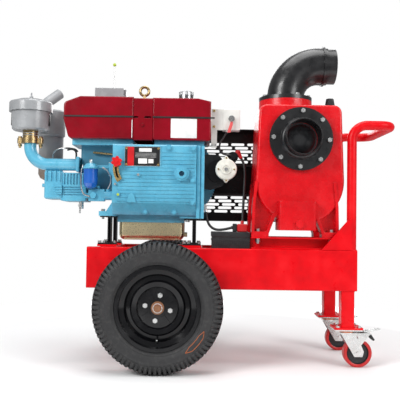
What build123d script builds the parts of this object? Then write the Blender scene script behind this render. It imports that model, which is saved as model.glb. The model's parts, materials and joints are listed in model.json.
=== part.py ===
"""Trolley-mounted fire pump: a horizontal single-cylinder diesel engine drives a
six-inch self-priming pump through belts, on a welded two-wheel cart with two casters.

Millimetres. X runs along the cart towards the push handle, Y points away from the
engine's gear cover, Z is up. The origin is on the ground, at the middle of the
bounding box.
"""
from build123d import *
import math
import os

os.makedirs("parts", exist_ok=True)

# ---------------------------------------------------------------- driving dimensions
GAP = 0.4                  # clearance between faces that must not touch
FIT = 0.05                 # radial clearance of a running fit

RAIL_X0, RAIL_X1 = -508.0, 732.0
RAIL_Z0, RAIL_Z1 = 349.0, 536.0
RAIL_Y = 230.0             # outer face of each side rail
RAIL_WEB = 6.0
RAIL_FLANGE = 50.0

WHEEL_X, WHEEL_R, WHEEL_Y = -170.0, 284.5, 375.0
STUB_R = 17.5
HUB_IN, HUB_OUT = 318.0, 409.0     # the hub's two ends, from the middle plane

CASTER_X, CASTER_Y, CASTER_R, CASTER_TRAIL = 692.0, 193.0, 65.0, 49.0
POST_SIDE = 60.0
PLATE_Z0, PLATE_Z1 = 176.0, 184.0  # welded caster plate

HANDLE_X, HANDLE_Y, HANDLE_R = 710.0, 205.0, 22.0
HANDLE_Z, HANDLE_END_X = 1117.0, 902.0

CRANK_X, CRANK_Z = -120.0, 885.0
PUMP_X, PUMP_Z = 468.0, 878.0
CRANK_R, SHAFT_R = 27.5, 22.0
ENGINE_PULLEY_R, PUMP_PULLEY_R = 85.0, 80.0
BELTS, BELT_PITCH, BELT_W, BELT_H = 5, 17.0, 13.0, 10.0
BELT_Y0 = 213.5            # middle of the first belt
GROOVE = 10.0
FLYWHEEL_R, FLYWHEEL_Y0, FLYWHEEL_Y1 = 215.0, 125.0, 195.0
RING_TEETH = 110

CASE_X0, CASE_X1 = -403.0, 26.0
CASE_Y0, CASE_Y1 = -150.0, 110.0
CASE_Z0, CASE_Z1 = 685.0, 1014.0
COVER_Y = -190.0           # face of the gear cover
COVER_X1 = -12.0
COVER_BOLTS = ((-141, 1000), (-27, 996), (-27, 848), (-27, 746), (-248, 700), (-113, 700))
LEVER_X, LEVER_Z, LEVER_R = -292.0, 900.0, 93.0    # throttle pivot and the knob's radius from it
LEVER_A = 161.5            # the knob's direction at rest, in degrees
ARC_END = 217.0            # direction of the quadrant's lower end
STAND_X = (-418.0, -18.0)
STAND_Y = (-120.0, 86.0)
FOOT_Z = (679.0, 672.0)    # underside of the left and the right feet
FOOT_BOLT_X = (-452.0, -51.0)

HOPPER_X0, HOPPER_X1 = -645.0, -313.6
TANK_X0, TANK_X1 = -222.0, 54.0
TANK_Z0, TANK_Z1 = 1044.0, 1246.0
SEAM_Z = 1149.5
FLOAT_X, FLOAT_Y = -424.0, -20.0
CAP_X, CAP_Y = -66.5, -60.0

CLEANER_X, CLEANER_Y, CLEANER_R = -821.0, -60.0, 103.0
INTAKE_Z = 925.0
MUFFLER_X, MUFFLER_Y, MUFFLER_R = -768.0, 150.0, 70.0
FILTER_X, FILTER_Y = -512.5, -134.0

FLANGE_X, FLANGE_Z = 471.5, 1048.5     # suction flange centre
FLANGE_R, FLANGE_PCD, SPIGOT_R, SPIGOT_BORE = 147.0, 260.0, 84.15, 78.0
FLANGE_TURN = 87.6         # direction of the first flange bolt, in degrees
PUMP_Y0, PUMP_Y1 = -200.0, 60.0
PUMP_TOP, PUMP_WALL = 1212.0, 9.0
CASING_X, CASING_HALF, CASING_CORNER = 472.0, 192.0, 38.0
ROUND_R, ROUND_Z = 206.0, 856.0
PLUG_X, PLUG_Y = 628.0, -100.0
OUTLET_X, OUTLET_Y, OUTLET_Z = 420.0, -40.0, 1430.0
OUTLET_FLANGE_R = 129.0
OUTLET_R, OUTLET_BORE, OUTLET_END_X, OUTLET_BEND = 90.0, 80.0, 660.0, 160.0
DISCHARGE_Z0, DISCHARGE_Z1, DISCHARGE_PCD = 1250.0, 1268.0, 225.0
FEET_X = 450.0             # middle of the two rows of pump feet
FOOT_Y = (-205.0, 0.0)     # front of each row
FOOT_DEPTH = 55.0
FOOT_BOLTS = (FEET_X - 171.0, FEET_X + 171.0)
FLAP_Y, FLAP_Z = -180.0, FLANGE_Z + 97.0

GUARD_X0, GUARD_X1 = -365.0, 578.0
GUARD_Z0, GUARD_Z1 = 663.0, 1151.0
GUARD_Y0, GUARD_Y1 = 205.0, 303.0
GUARD_CORNER = 60.0
SLOT_L, SLOT_H, SLOT_PITCH = 71.7, 14.0, 87.7
SHEET = 2.5

BATTERY = (64.0, 245.0, -178.0, -10.0, 412.0, 612.0)
POST_Y = -150.0            # middle of the battery clamp
STARTER_X, STARTER_Z = 130.0, 909.0
SOLENOID_X, SOLENOID_Z = 165.0, 975.0

# routes of the flexible leads, from the first end to the second
NEGATIVE_LEAD = [(36.5, -118, 704), (41.9, -121, 656), (72, -132, 622), (118, -142, 620), (158, -149, 632)]
POSITIVE_LEAD = [(206, -60, 968), (219, -62, 946), (223, -72, 906), (221, -90, 858), (218, -110, 808),
                 (214, -132, 758), (211, -144, 710), (208, -150, 664)]
WIRING_LOOM = [(132, -86, 1092), (117, -91, 1064), (99, -94, 1038), (96, -94, 1008), (110, -90, 986),
               (138, -82, 982)]
LEAD_R = {"negative_lead": 6.0, "positive_lead": 6.0, "wiring_loom": 4.5}


# ---------------------------------------------------------------- helpers
def block(x0, x1, y0, y1, z0, z1, r=0.0):
    """A box between two corners, with its edges rounded by r."""
    b = Pos((x0 + x1) / 2, (y0 + y1) / 2, (z0 + z1) / 2) * Box(x1 - x0, y1 - y0, z1 - z0)
    return fillet(b.edges(), r) if r else b


def rod(p0, p1, r):
    """A round bar between two points."""
    a, b = Vector(*p0), Vector(*p1)
    plane = Plane(origin=a, z_dir=b - a)
    return extrude(plane * Circle(r), (b - a).length)


def disc(x, z, y0, y1, r):
    """A cylinder along Y."""
    return rod((x, y0, z), (x, y1, z), r)


def ring(x, z, y0, y1, r_out, r_in):
    """A tube along Y."""
    return disc(x, z, y0, y1, r_out) - disc(x, z, y0 - 1, y1 + 1, r_in)


def hexagon(p0, p1, r):
    """A hexagonal bar between two points, r being its corner radius."""
    a, b = Vector(*p0), Vector(*p1)
    plane = Plane(origin=a, z_dir=b - a)
    return extrude(plane * RegularPolygon(r, 6), (b - a).length)


def side_plate(points, y0, y1):
    """A plate cut to an outline of (x, z) points, from y0 to y1."""
    face = make_face(Polyline(*[(x, y0, z) for x, z in points], close=True))
    return extrude(face, amount=y1 - y0, dir=(0, 1, 0))


def spun(profile, x, z):
    """Turns an outline of (y, radius) points about the axis through (x, z) along Y."""
    face = make_face(Polyline(*[(x, y, z + r) for y, r in profile], close=True))
    return revolve(face, Axis((x, 0, z), (0, 1, 0)), 360)


def spun_z(profile, x, y):
    """Turns an outline of (radius, z) points about the upright axis through (x, y)."""
    face = make_face(Polyline(*[(x + r, y, z) for r, z in profile], close=True))
    return revolve(face, Axis((x, y, 0), (0, 0, 1)), 360)


def bend_radii(points, share=0.45):
    """For each corner of a route, the arc that its two runs leave room for."""
    radii = []
    for before, here, after in zip(points, points[1:], points[2:]):
        into = Vector(*here) - Vector(*before)
        out = Vector(*after) - Vector(*here)
        half = math.radians(into.get_angle(out)) / 2
        radii.append(share * min(into.length, out.length) / math.tan(half))
    return radii


def tube(points, r, radii=None):
    """A round bar along straight runs joined by tangent arcs."""
    line = FilletPolyline(*points, radius=radii or bend_radii(points))
    start = Plane(origin=line @ 0, z_dir=line % 0)
    return sweep(start * Circle(r), path=line)


def lead(name, points):
    """A flexible lead; prints its bends and how its volume compares with a straight one's."""
    r = LEAD_R[name]
    radii = bend_radii(points)
    shape = tube(points, r, radii)
    length = FilletPolyline(*points, radius=radii).length
    ratio = shape.volume / (math.pi * r * r * length)
    print(name, "length", round(length), "radii", [round(v) for v in radii], "volume ratio", round(ratio, 3))
    return shape


def ferrule(points, length, r):
    """A round sleeve that a lead's first point comes out of, in line with its first run."""
    start, after = Vector(*points[0]), Vector(*points[1])
    back = start + (start - after).normalized() * length
    return rod(tuple(back), tuple(start), r)


def spots_round(x, y, radius, count, first):
    """Points evenly spaced on a circle."""
    angles = [math.radians(first + 360 * k / count) for k in range(count)]
    return [(x + radius * math.cos(a), y + radius * math.sin(a)) for a in angles]


def sector(x, z, r0, r1, a0, a1, y0, y1):
    """A piece of a flat ring, between two angles seen from the front."""
    count = 12
    angles = [math.radians(a0 + (a1 - a0) * k / count) for k in range(count + 1)]
    outer = [(x + r1 * math.cos(a), z + r1 * math.sin(a)) for a in angles]
    inner = [(x + r0 * math.cos(a), z + r0 * math.sin(a)) for a in reversed(angles)]
    return side_plate(outer + inner, y0, y1)


def join(shapes):
    """One body made of touching or overlapping shapes."""
    body = shapes[0]
    for shape in shapes[1:]:
        body = body + shape
    return body


def save(name, *shapes):
    """Writes a node; several shapes stay separate solids."""
    solids = [s for shape in shapes for s in shape.solids()]
    node = solids[0] if len(solids) == 1 else Compound(children=solids)
    export_step(node, f"parts/{name}.step")


def mirrored(shape):
    """The same shape on the other side of the middle plane."""
    return mirror(shape, about=Plane.XZ)


# ---------------------------------------------------------------- cart
def side_rail():
    """A folded channel, open towards the middle of the cart."""
    outer = block(RAIL_X0, RAIL_X1, -RAIL_Y, -RAIL_Y + RAIL_FLANGE, RAIL_Z0, RAIL_Z1)
    outer = fillet(outer.edges().filter_by(Axis.X).sort_by(Axis.Y)[:2], RAIL_WEB)
    inside = block(RAIL_X0 - 1, RAIL_X1 + 1, -RAIL_Y + RAIL_WEB, 0,
                   RAIL_Z0 + RAIL_WEB, RAIL_Z1 - RAIL_WEB)
    return outer - inside


def caster_post(side):
    """A square post with the plate that a caster bolts to."""
    y = side * CASTER_Y
    half = POST_SIDE / 2
    post = block(CASTER_X - half, CASTER_X + half, y - half, y + half, PLATE_Z1, RAIL_Z0)
    post = fillet(post.edges().filter_by(Axis.Z), 5)
    bore = block(CASTER_X - half + 4, CASTER_X + half - 4, y - half + 4, y + half - 4, PLATE_Z1 + 4, 400)
    plate = block(CASTER_X - 66, CASTER_X + 66, y - 55, y + 55, PLATE_Z0, PLATE_Z1)
    plate = fillet(plate.edges().filter_by(Axis.Z), 8)
    return (post - bore) + plate


def pump_channel(y0):
    """One of the two channels that the pump's feet stand on, open to the front."""
    y1 = y0 + FOOT_DEPTH
    body = block(247, 668, y0, y1, RAIL_Z1, 590.8)
    hollow = block(246, 669, y0 - 1, y1 - 6, RAIL_Z1 + 6, 584.8)
    for x in FOOT_BOLTS:
        hollow = hollow + rod((x, y0 + 27, 580), (x, y0 + 27, 600), 7.5)
    return body - hollow


def cross_members():
    """Channels between the rails, the pump's channels, stand pads and the battery tray."""
    inner = RAIL_Y - RAIL_WEB
    bars = []
    for x in (STAND_X[0], STAND_X[1], 300, 640):
        beam = block(x - 40, x + 40, -inner, inner, RAIL_Z1 - 56, RAIL_Z1 - RAIL_WEB)
        beam = beam - block(x - 35, x + 35, -inner - 1, inner + 1, RAIL_Z1 - 57, RAIL_Z1 - RAIL_WEB - 5)
        top = block(x - 40, x + 40, -RAIL_Y + RAIL_FLANGE, RAIL_Y - RAIL_FLANGE, RAIL_Z1 - RAIL_WEB, RAIL_Z1)
        bars.append(beam + top)
    for x in (90, 220):
        bars.append(block(x - 20, x + 20, -inner, inner, RAIL_Z0 + RAIL_WEB, 406))
    rear = -RAIL_Y + RAIL_FLANGE + GAP
    tray = block(56, 254, rear, 0, 406, 412) - block(62, 246, rear - 1, -8, 411.8, 413)
    pads = [block(x - 56, x + 34, y - 24, y + 24, RAIL_Z1, 545) for x in STAND_X for y in STAND_Y]
    return bars + [tray] + pads + [pump_channel(y) for y in FOOT_Y]


def push_handle():
    """A bent tube: two posts, two arms and the cross grip, with a gusset at each post."""
    corner, bow = 70.0, 60.0
    route = [(HANDLE_X, -HANDLE_Y, RAIL_Z1), (HANDLE_X, -HANDLE_Y, HANDLE_Z),
             (HANDLE_END_X, -HANDLE_Y, HANDLE_Z), (HANDLE_END_X, HANDLE_Y, HANDLE_Z),
             (HANDLE_X, HANDLE_Y, HANDLE_Z), (HANDLE_X, HANDLE_Y, RAIL_Z1)]
    bar = tube(route, HANDLE_R, [corner, bow, bow, corner])
    gussets = []
    for side in (-1, 1):
        y0, y1 = sorted((side * (HANDLE_Y + 17), side * RAIL_Y))
        outline = [(568, RAIL_Z1), (HANDLE_X, RAIL_Z1), (HANDLE_X, 682), (690, 676)]
        gussets.append(side_plate(outline, y0, y1))
    return join([bar] + gussets)


def wheel_axle():
    """A square beam with round stub ends and the two saddles that meet the rails."""
    z = WHEEL_R
    beam = block(WHEEL_X - 25, WHEEL_X + 25, -285, 285, z - 25, z + 25)
    beam = fillet(beam.edges().filter_by(Axis.Y), 5)
    parts = [beam]
    for side in (-1, 1):
        parts.append(disc(WHEEL_X, z, side * 280, side * (HUB_IN - 2), 26))
        parts.append(disc(WHEEL_X, z, side * 280, side * 412, STUB_R))
        y0, y1 = sorted((side * 190, side * 228))
        parts.append(block(WHEEL_X - 45, WHEEL_X + 45, y0, y1, z + 20, RAIL_Z0))
        parts.append(hexagon((WHEEL_X, side * 410, z), (WHEEL_X, side * 419, z), 15))
    return join(parts)


# ---------------------------------------------------------------- wheels
def tyre(side):
    """Hollow tyre, open at the rim, with its beads on the seats."""
    half = [(41, 173.0), (49.4, 173.0), (49.4, 185.2), (56, 188.5), (64, 205), (69.5, 226), (70, 242),
            (66, 262), (56, 274), (30, 282), (0, WHEEL_R)]
    bore = [(0, 270.0), (30, 267), (50, 258), (59, 240), (58.5, 222), (52, 200)]
    outer = half + [(-y, r) for y, r in reversed(half[:-1])]
    inner = [(-y, r) for y, r in reversed(bore)] + bore[1:]
    y = side * WHEEL_Y
    return spun([(y + a, r) for a, r in outer + inner], WHEEL_X, WHEEL_R)


def wheel_rim(side):
    """The pressed rim and disc, its cast hub and four wheel nuts."""
    well = [(-55, 184.0), (-50, 184), (-50, 172.5), (-30, 170), (-22, 150), (22, 150), (30, 170),
            (50, 172.5), (50, 184), (55, 184), (54, 168), (33, 165), (25, 145.5), (-25, 145.5),
            (-33, 165), (-54, 168)]
    dish = [(4, 146.5), (9, 146.5), (12, 138), (17, 120), (27, 112), (24, 92), (14, 86), (14, 26),
            (8, 26), (8, 88), (18, 96), (21, 110), (12, 116), (5, 136)]
    y = side * WHEEL_Y
    body = spun([(y + side * a, r) for a, r in well], WHEEL_X, WHEEL_R)
    body = body + spun([(y + side * a, r) for a, r in dish], WHEEL_X, WHEEL_R)
    hub = disc(WHEEL_X, WHEEL_R, side * HUB_IN, side * (HUB_OUT - 8), 28)
    hub = hub + disc(WHEEL_X, WHEEL_R, side * (HUB_OUT - 8), side * HUB_OUT, 21)
    hub = hub + disc(WHEEL_X, WHEEL_R, side * (WHEEL_Y + 1), side * (WHEEL_Y + 9), 68)
    body = body + hub
    for k in range(4):
        a = math.radians(79.4 - 90 * k)
        x, z = WHEEL_X + 55 * math.cos(a), WHEEL_R + 55 * math.sin(a)
        body = body + hexagon((x, y + side * 13, z), (x, y + side * 27, z), 11)
        b = math.radians(124.4 - 90 * k)
        rib = [(WHEEL_X + r * math.cos(b) - w * math.sin(b), WHEEL_R + r * math.sin(b) + w * math.cos(b))
               for r, w in ((40, -7), (84, -9), (84, 9), (40, 7))]
        y0, y1 = sorted((y + side * 13, y + side * 20))
        body = body + side_plate(rib, y0, y1)
    return body - disc(WHEEL_X, WHEEL_R, side * 300, side * 420, STUB_R + FIT)


# ---------------------------------------------------------------- casters
def caster_fork(side):
    """Swivel head, two raked cheeks with the pedal's ears, kingpin and wheel bolt."""
    x, y = CASTER_X, side * CASTER_Y
    wx = x + CASTER_TRAIL
    head = spun_z([(0, 151), (31, 151), (34, 160), (34, 163), (28, 169.4), (8, 169.4), (8, 174), (0, 174)],
                  x, y)
    cheeks = []
    outline = [(x - 33, 158), (x + 33, 158), (x + 98, 158), (x + 98, 148), (x + 62, 103), (wx + 25, 74),
               (wx + 19, 50), (wx - 18, 50)]
    for s in (-1, 1):
        y0, y1 = sorted((y + s * 24.5, y + s * 28.5))
        cheek = side_plate(outline, y0, y1)
        window = side_plate([(x + 41, 150), (x + 49, 131), (x + 42, 137)], y0 - 1, y1 + 1)
        cheeks.append(cheek - window)
    bridge = block(x - 32, x + 32, y - 28.5, y + 28.5, 151, 158)
    bolt = disc(wx, CASTER_R, y - 33, y + 33, 6)
    nuts = [hexagon((wx, y + s * 28.5, CASTER_R), (wx, y + s * 35, CASTER_R), 11) for s in (-1, 1)]
    pedal_pin = disc(x + 84, 150, y - 30, y + 30, 4)
    return join([head, bridge] + cheeks + [bolt, pedal_pin] + nuts)


def caster_wheel(side):
    """Cast core with a moulded tread."""
    x, y = CASTER_X + CASTER_TRAIL, side * CASTER_Y
    profile = [(-23, 6 + FIT), (23, 6 + FIT), (23, 17), (14, 19), (10, 26), (10, 46), (18, 50), (20, 54),
               (20, 62), (17, CASTER_R), (-17, CASTER_R), (-20, 62), (-20, 54), (-18, 50), (-10, 46),
               (-10, 26), (-14, 19), (-23, 17)]
    return spun([(y + a, r) for a, r in profile], x, CASTER_R)


def caster_pedal(side):
    """Foot pedal with the brake shoe that presses on the tread."""
    x, y = CASTER_X, side * CASTER_Y
    tread = side_plate([(x + 76, 162), (x + 100, 163.5), (x + 130, 170), (x + 152, 174), (x + 153, 177),
                        (x + 130, 174), (x + 100, 168.6), (x + 76, 166.5)], y - 20, y + 20)
    web = side_plate([(x + 77, 164), (x + 76, 146), (x + 80, 141), (x + 100, 141), (x + 112, 128),
                      (x + 118, 128), (x + 118, 142), (x + 104, 166)], y - 12, y + 12)
    shoe = side_plate([(x + 101, 143), (x + 120, 122), (x + 128, 126), (x + 112, 150)], y - 17, y + 17)
    body = join([tread, web, shoe])
    return body - disc(x + 84, 150, y - 40, y + 40, 4 + FIT)


# ---------------------------------------------------------------- engine
def crankcase():
    """Hollow cast case with its flanged column, feet, cylinder block and hopper seat."""
    case = block(CASE_X0, -4, CASE_Y0, CASE_Y1, CASE_Z0, CASE_Z1)
    column = block(COVER_X1, 6, CASE_Y0 - 24, CASE_Y1, FOOT_Z[1], CASE_Z1)
    column = fillet(column.edges().filter_by(Axis.Z), 5)
    groove = block(4, 12, CASE_Y0 - 12, CASE_Y1 - 6, FOOT_Z[1], CASE_Z1 - 4)
    flange = block(10, CASE_X1, CASE_Y0 - 18, CASE_Y1, FOOT_Z[1], CASE_Z1)
    flange = fillet(flange.edges().filter_by(Axis.Z), 4)
    deck = block(-215, 24, -110, 100, CASE_Z1 - 2, TANK_Z0 - 3)
    pan_rail = block(-385, -66.5, -104, 92, 651.2, CASE_Z0 + 2)
    jacket = block(-575, CASE_X0 + 2, -58, 80, 762, 1020)
    jacket = fillet(jacket.edges().filter_by(Axis.Z), 14)
    seat = block(-610, HOPPER_X1, -110, 90, 1018, TANK_Z0 - 0.2)
    seat = fillet(seat.edges().filter_by(Axis.Z), 12)
    bearing = disc(CRANK_X, CRANK_Z, CASE_Y1 - 34, CASE_Y1 + 6, 62)
    barrel = block(-655, -541, -84, 70, 747, 885, 6)
    body = join([case, column, groove, flange, deck, pan_rail, jacket, seat, barrel])
    body = body - block(CASE_X0 + 18, -16, CASE_Y0 + 15, CASE_Y1 - 15, 700, CASE_Z1 - 14)
    body = body + bearing
    body = body - disc(CRANK_X, CRANK_Z, CASE_Y1 - 40, CASE_Y1 + 10, CRANK_R + FIT)
    for k in range(4):
        body = body - block(-648, -548, -90, -79, 775 + 12 * k, 781 + 12 * k)
    for k in range(7):
        body = body - block(-648 + 15 * k, -640 + 15 * k, -90, -78, 828, 880)
    left = side_plate([(-470, 679), (-390, 679), (-390, 752), (-404, 752), (-436, 701), (-470, 701)], 0, 40)
    right = side_plate([(-90, 672), (22, 672), (22, 712), (-46, 693.8), (-90, 693.8)], 0, 40)
    for y in STAND_Y:
        body = body + Pos(0, y - 20, 0) * left + Pos(0, y - 20, 0) * right
        for x in FOOT_BOLT_X:
            body = body - rod((x, y, 665), (x, y, 712), 6.5)
    return body


def gear_cover():
    """Ribbed cover with a sloped foot, the crank boss and an arc pocket; its bolts apart."""
    x0, x1 = CASE_X0, COVER_X1 - 0.4
    back = CASE_Y0 - 0.2
    section = [(back, 1014), (COVER_Y + 5, 1014), (COVER_Y, 1009), (COVER_Y, 741), (back - 3, CASE_Z0 + 1),
               (back, CASE_Z0 + 1)]
    face = make_face(Polyline(*[(x0, y, z) for y, z in section], close=True))
    body = extrude(face, amount=x1 - x0, dir=(1, 0, 0))
    shapes = [body]
    for k in range(14):
        z = 750 + 17.6 * k
        left = x0 + 24 if z < 900 else -176
        shapes.append(block(left, x1 - 8, COVER_Y - 3.2, COVER_Y + 1, z - 2, z + 2))
    shapes.append(disc(-80, 879, COVER_Y - 20, COVER_Y + 1, 34))
    shapes.append(disc(-80, 879, COVER_Y - 26, COVER_Y - 19, 25))
    for x, z in COVER_BOLTS:
        front = COVER_Y - 6 if z > 720 else CASE_Y0 - 14
        shapes.append(disc(x, z, front, CASE_Y0 - 8, 14))
    shapes.append(disc(-388, 827, COVER_Y - 8, COVER_Y + 1, 8))
    shapes.append(disc(-374, 778, COVER_Y - 10, COVER_Y + 1, 9))
    shapes.append(disc(-282, 872, COVER_Y - 9, COVER_Y + 1, 9))
    badge = [(-334, 742), (-290, 742), (-299, 776), (-311, 790), (-325, 776)]
    shapes.append(side_plate(badge, COVER_Y - 9, COVER_Y + 1))
    shapes.append(block(-352, -176, COVER_Y - 3.4, COVER_Y + 1, 906, 1008))
    shapes.append(disc(LEVER_X, LEVER_Z, COVER_Y - 3.4, COVER_Y + 1, 9))
    cover = join(shapes)
    cover = cover - disc(-80, 879, COVER_Y - 30, COVER_Y + 15, 12)
    cover = cover - sector(LEVER_X, LEVER_Z, 84, 103, 154, ARC_END - 5, COVER_Y - 9, COVER_Y + 20)
    cover = cover - block(x0 + 14, x1 - 14, COVER_Y + 26, back + 1, CASE_Z0 + 70, 1000)
    bolts = []
    for x, z in COVER_BOLTS:
        front = COVER_Y - 6 if z > 720 else CASE_Y0 - 14
        cover = cover - disc(x, z, front - 1, CASE_Y0 - 9, 5)
        head = hexagon((x, front - 9, z), (x, front - 0.05, z), 9.5)
        bolts.append(head + disc(x, z, front - 1, CASE_Y0 - 10, 4.9))
    return [cover] + bolts


def throttle_quadrant():
    """Slotted brass arc that the throttle's stem runs in."""
    arc = sector(LEVER_X, LEVER_Z, 80, 107, 150, ARC_END, COVER_Y - 14, COVER_Y - 10)
    arc = arc - sector(LEVER_X, LEVER_Z, 88.5, 97.5, 157, ARC_END - 8, COVER_Y - 15, COVER_Y - 9)
    feet = []
    for a in (152, ARC_END - 2):
        x = LEVER_X + LEVER_R * math.cos(math.radians(a))
        z = LEVER_Z + LEVER_R * math.sin(math.radians(a))
        feet.append(disc(x, z, COVER_Y - 11, COVER_Y - 0.05, 4))
    return join([arc] + feet)


def throttle_knob():
    """Star knob on the stem that runs in the quadrant."""
    x = LEVER_X + LEVER_R * math.cos(math.radians(LEVER_A))
    z = LEVER_Z + LEVER_R * math.sin(math.radians(LEVER_A))
    hub = disc(x, z, -228, -208, 17)
    lobes = [disc(u, v, -228, -210, 8) for u, v in spots_round(x, z, 17, 6, 20)]
    stem = disc(x, z, -210, -176, 3.8)
    collar = disc(x, z, -209, -205, 8)
    nut = disc(x, z, -231, -227, 7)
    return join([hub, stem, collar, nut] + lobes)


def cylinder_head():
    """Head casting with its stud, ribbed round boss, rocker cover and port faces."""
    head = block(-746, -655.4, -80, 70, 757, 895.5, 12)
    boss = disc(-671, 804, -96, -70, 24)
    for k in range(3):
        boss = boss + block(-690, -652, -100, -94, 790 + 12 * k, 795 + 12 * k)
    stud = rod((-762, -40, 824), (-740, -40, 824), 9)
    ribs = [block(-738 + 22 * k, -732 + 22 * k, -88, -76, 846, 894) for k in range(4)]
    port = disc(-720, 880, 60, 78, 34)
    plate = block(-664, -655.4, -76, 66, 750, 888)
    body = join([head, boss, stud, port, plate] + ribs)
    return body - block(-655.4, -600, -120, 100, 700, 950)


def oil_pan():
    """Deep pressed pan with rounded lower corners and a drain plug."""
    pan = block(-378, -66, -100, 88, 567, 651)
    pan = fillet(pan.edges().filter_by(Axis.Y).sort_by(Axis.Z)[:2], 28)
    pan = fillet(pan.edges().filter_by(Axis.Z), 22)
    hollow = block(-374, -70, -96, 84, 571, 660)
    hollow = fillet(hollow.edges().filter_by(Axis.Y).sort_by(Axis.Z)[:2], 24)
    hollow = fillet(hollow.edges().filter_by(Axis.Z), 18)
    return (pan - hollow) + hexagon((-72, -30, 594), (-52, -30, 594), 11)


def engine_stands():
    """Slim double-bar legs that carry the engine's feet above the cart's cross channels."""
    legs = []
    for x, top, bolt in zip(STAND_X, FOOT_Z, FOOT_BOLT_X):
        for y in STAND_Y:
            web = block(x - 9, x + 9, y - 20, y + 20, 550, top - 5)
            slot = block(x - 3, x + 3, y - 21, y + 12, 556, top - 10)
            base = block(x - 54, x + 32, y - 22, y + 22, 545.2, 552)
            head = block(x - 46, x + 14, y - 20, y + 20, top - 6, top - 0.2)
            hole = rod((bolt, y, top - 8), (bolt, y, top), 6.5)
            legs.append((web - slot) + base + head - hole)
    return legs


def flange_bolts():
    """Bolt places of the suction flange, as (x, z), and the discharge flange, as (x, y)."""
    front = spots_round(FLANGE_X, FLANGE_Z, FLANGE_PCD / 2, 8, FLANGE_TURN)
    top = spots_round(OUTLET_X, OUTLET_Y, DISCHARGE_PCD / 2, 8, 22.5)
    return front, top


def zinc_fixings():
    """Plated bolts and nuts of the whole machine, and the casters' top plates."""
    parts = []
    for x in STAND_X:
        for y in STAND_Y:
            for dx in (-48, -25, 23):
                parts.append(hexagon((x + dx, y, 552), (x + dx, y, 562), 9))
    left, right = FOOT_BOLT_X
    for y in STAND_Y:
        nut = hexagon((left, y, 701.2), (left, y, 712), 9.5)
        parts.append(nut + rod((left, y, 664), (left, y, 702), 6))
        head = hexagon((right, y, 655), (right, y, 665.7), 9.5)
        parts.append(head + rod((right, y, 665), (right, y, 690), 6))
    for side in (-1, 1):
        y = side * CASTER_Y
        plate = block(CASTER_X - 62, CASTER_X + 62, y - 55, y + 55, 170, PLATE_Z0 - 0.05)
        parts.append(plate - rod((CASTER_X, y, 160), (CASTER_X, y, 180), 8 + FIT))
        for dx in (-48, 48):
            for dy in (-42, 42):
                spot = (CASTER_X + dx, y + dy)
                parts.append(hexagon((*spot, PLATE_Z1 + 0.05), (*spot, PLATE_Z1 + 8), 9))
    front, top = flange_bolts()
    for x, z in front:
        head = hexagon((x, -236, z), (x, -225.05, z), 11)
        parts.append(head + disc(x, z, -226, -194, 6.4))
    for x, y in top:
        head = hexagon((x, y, DISCHARGE_Z1 + 0.05), (x, y, DISCHARGE_Z1 + 10), 11)
        parts.append(head + rod((x, y, 1226), (x, y, DISCHARGE_Z1 + 1), 6.4))
    for x in FOOT_BOLTS:
        for y0 in FOOT_Y:
            y = y0 + 27
            bolt = hexagon((x, y, 617.05), (x, y, 629), 12) + rod((x, y, 560), (x, y, 618), 7)
            parts.append(bolt + hexagon((x, y, 566), (x, y, 584), 12))
    return parts


def hopper_form(inset, corner):
    """The hopper's rounded form, drawn in by inset, from the front face to the back."""
    x0, x1, z0, z1 = HOPPER_X0 + inset, HOPPER_X1 - inset, TANK_Z0 + inset, TANK_Z1 - inset
    outline = [(x1, z0), (x0 + 25, z0), (x0, z0 + 92), (x0, z1 - 30), (x0 + 78, z1), (x1, z1)]
    body = side_plate(outline, CASE_Y0 + inset, CASE_Y1 - inset)
    left = body.edges().filter_by(Axis.Y).sort_by(Axis.X)[:3]
    return fillet(left, corner)


def coolant_hopper():
    """Hollow cooling-water hopper with one rounded end, and the opening under its filler."""
    body = hopper_form(0, 22)
    body = fillet(body.faces().sort_by(Axis.Y)[0].outer_wire().edges(), 8)
    return body - hopper_form(6, 16) - rod((FLOAT_X, FLOAT_Y, 1230), (FLOAT_X, FLOAT_Y, 1300), 34)


def tank_bracket():
    """The saddle between hopper and fuel tank, with slots for its straps."""
    x0, x1 = HOPPER_X1 + 0.4, TANK_X0 - 0.4
    body = block(x0, x1, CASE_Y0 + 4, CASE_Y1 - 4, 1038, 1241)
    body = fillet(body.edges().filter_by(Axis.X), 7)
    body = body - block(x0 + 4, x1 - 4, CASE_Y0 + 9, CASE_Y1 - 9, 1030, 1234)
    for x, width in ((-312, 20), (-262, 30)):
        body = body - block(x, x + width, CASE_Y0, CASE_Y0 + 20, SEAM_Z - 4, SEAM_Z + 4)
    screw = disc(-272, 1112, CASE_Y0 - 2, CASE_Y0 + 8, 8)
    return body + screw


def fuel_tank():
    """Hollow tank with a top that slopes at one end, and the neck under the cap."""
    top, low = 1243.0, 1041.0
    outline = [(TANK_X0, low), (TANK_X1, low), (TANK_X1, 1229), (TANK_X1 - 60, top), (TANK_X0, top)]
    body = side_plate(outline, CASE_Y0, CASE_Y1)
    body = fillet(body.edges().filter_by(Axis.Y).sort_by(Axis.Z)[:2], 12)
    body = fillet(body.faces().sort_by(Axis.Y)[0].edges(), 6)
    hollow = block(TANK_X0 + 5, TANK_X1 - 5, CASE_Y0 + 6, CASE_Y1 - 6, low + 5, 1222)
    neck = rod((CAP_X, CAP_Y, 1220), (CAP_X, CAP_Y, 1252), 27)
    bore = rod((CAP_X, CAP_Y, 1210), (CAP_X, CAP_Y, 1260), 22)
    return body - hollow + neck - bore


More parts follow.
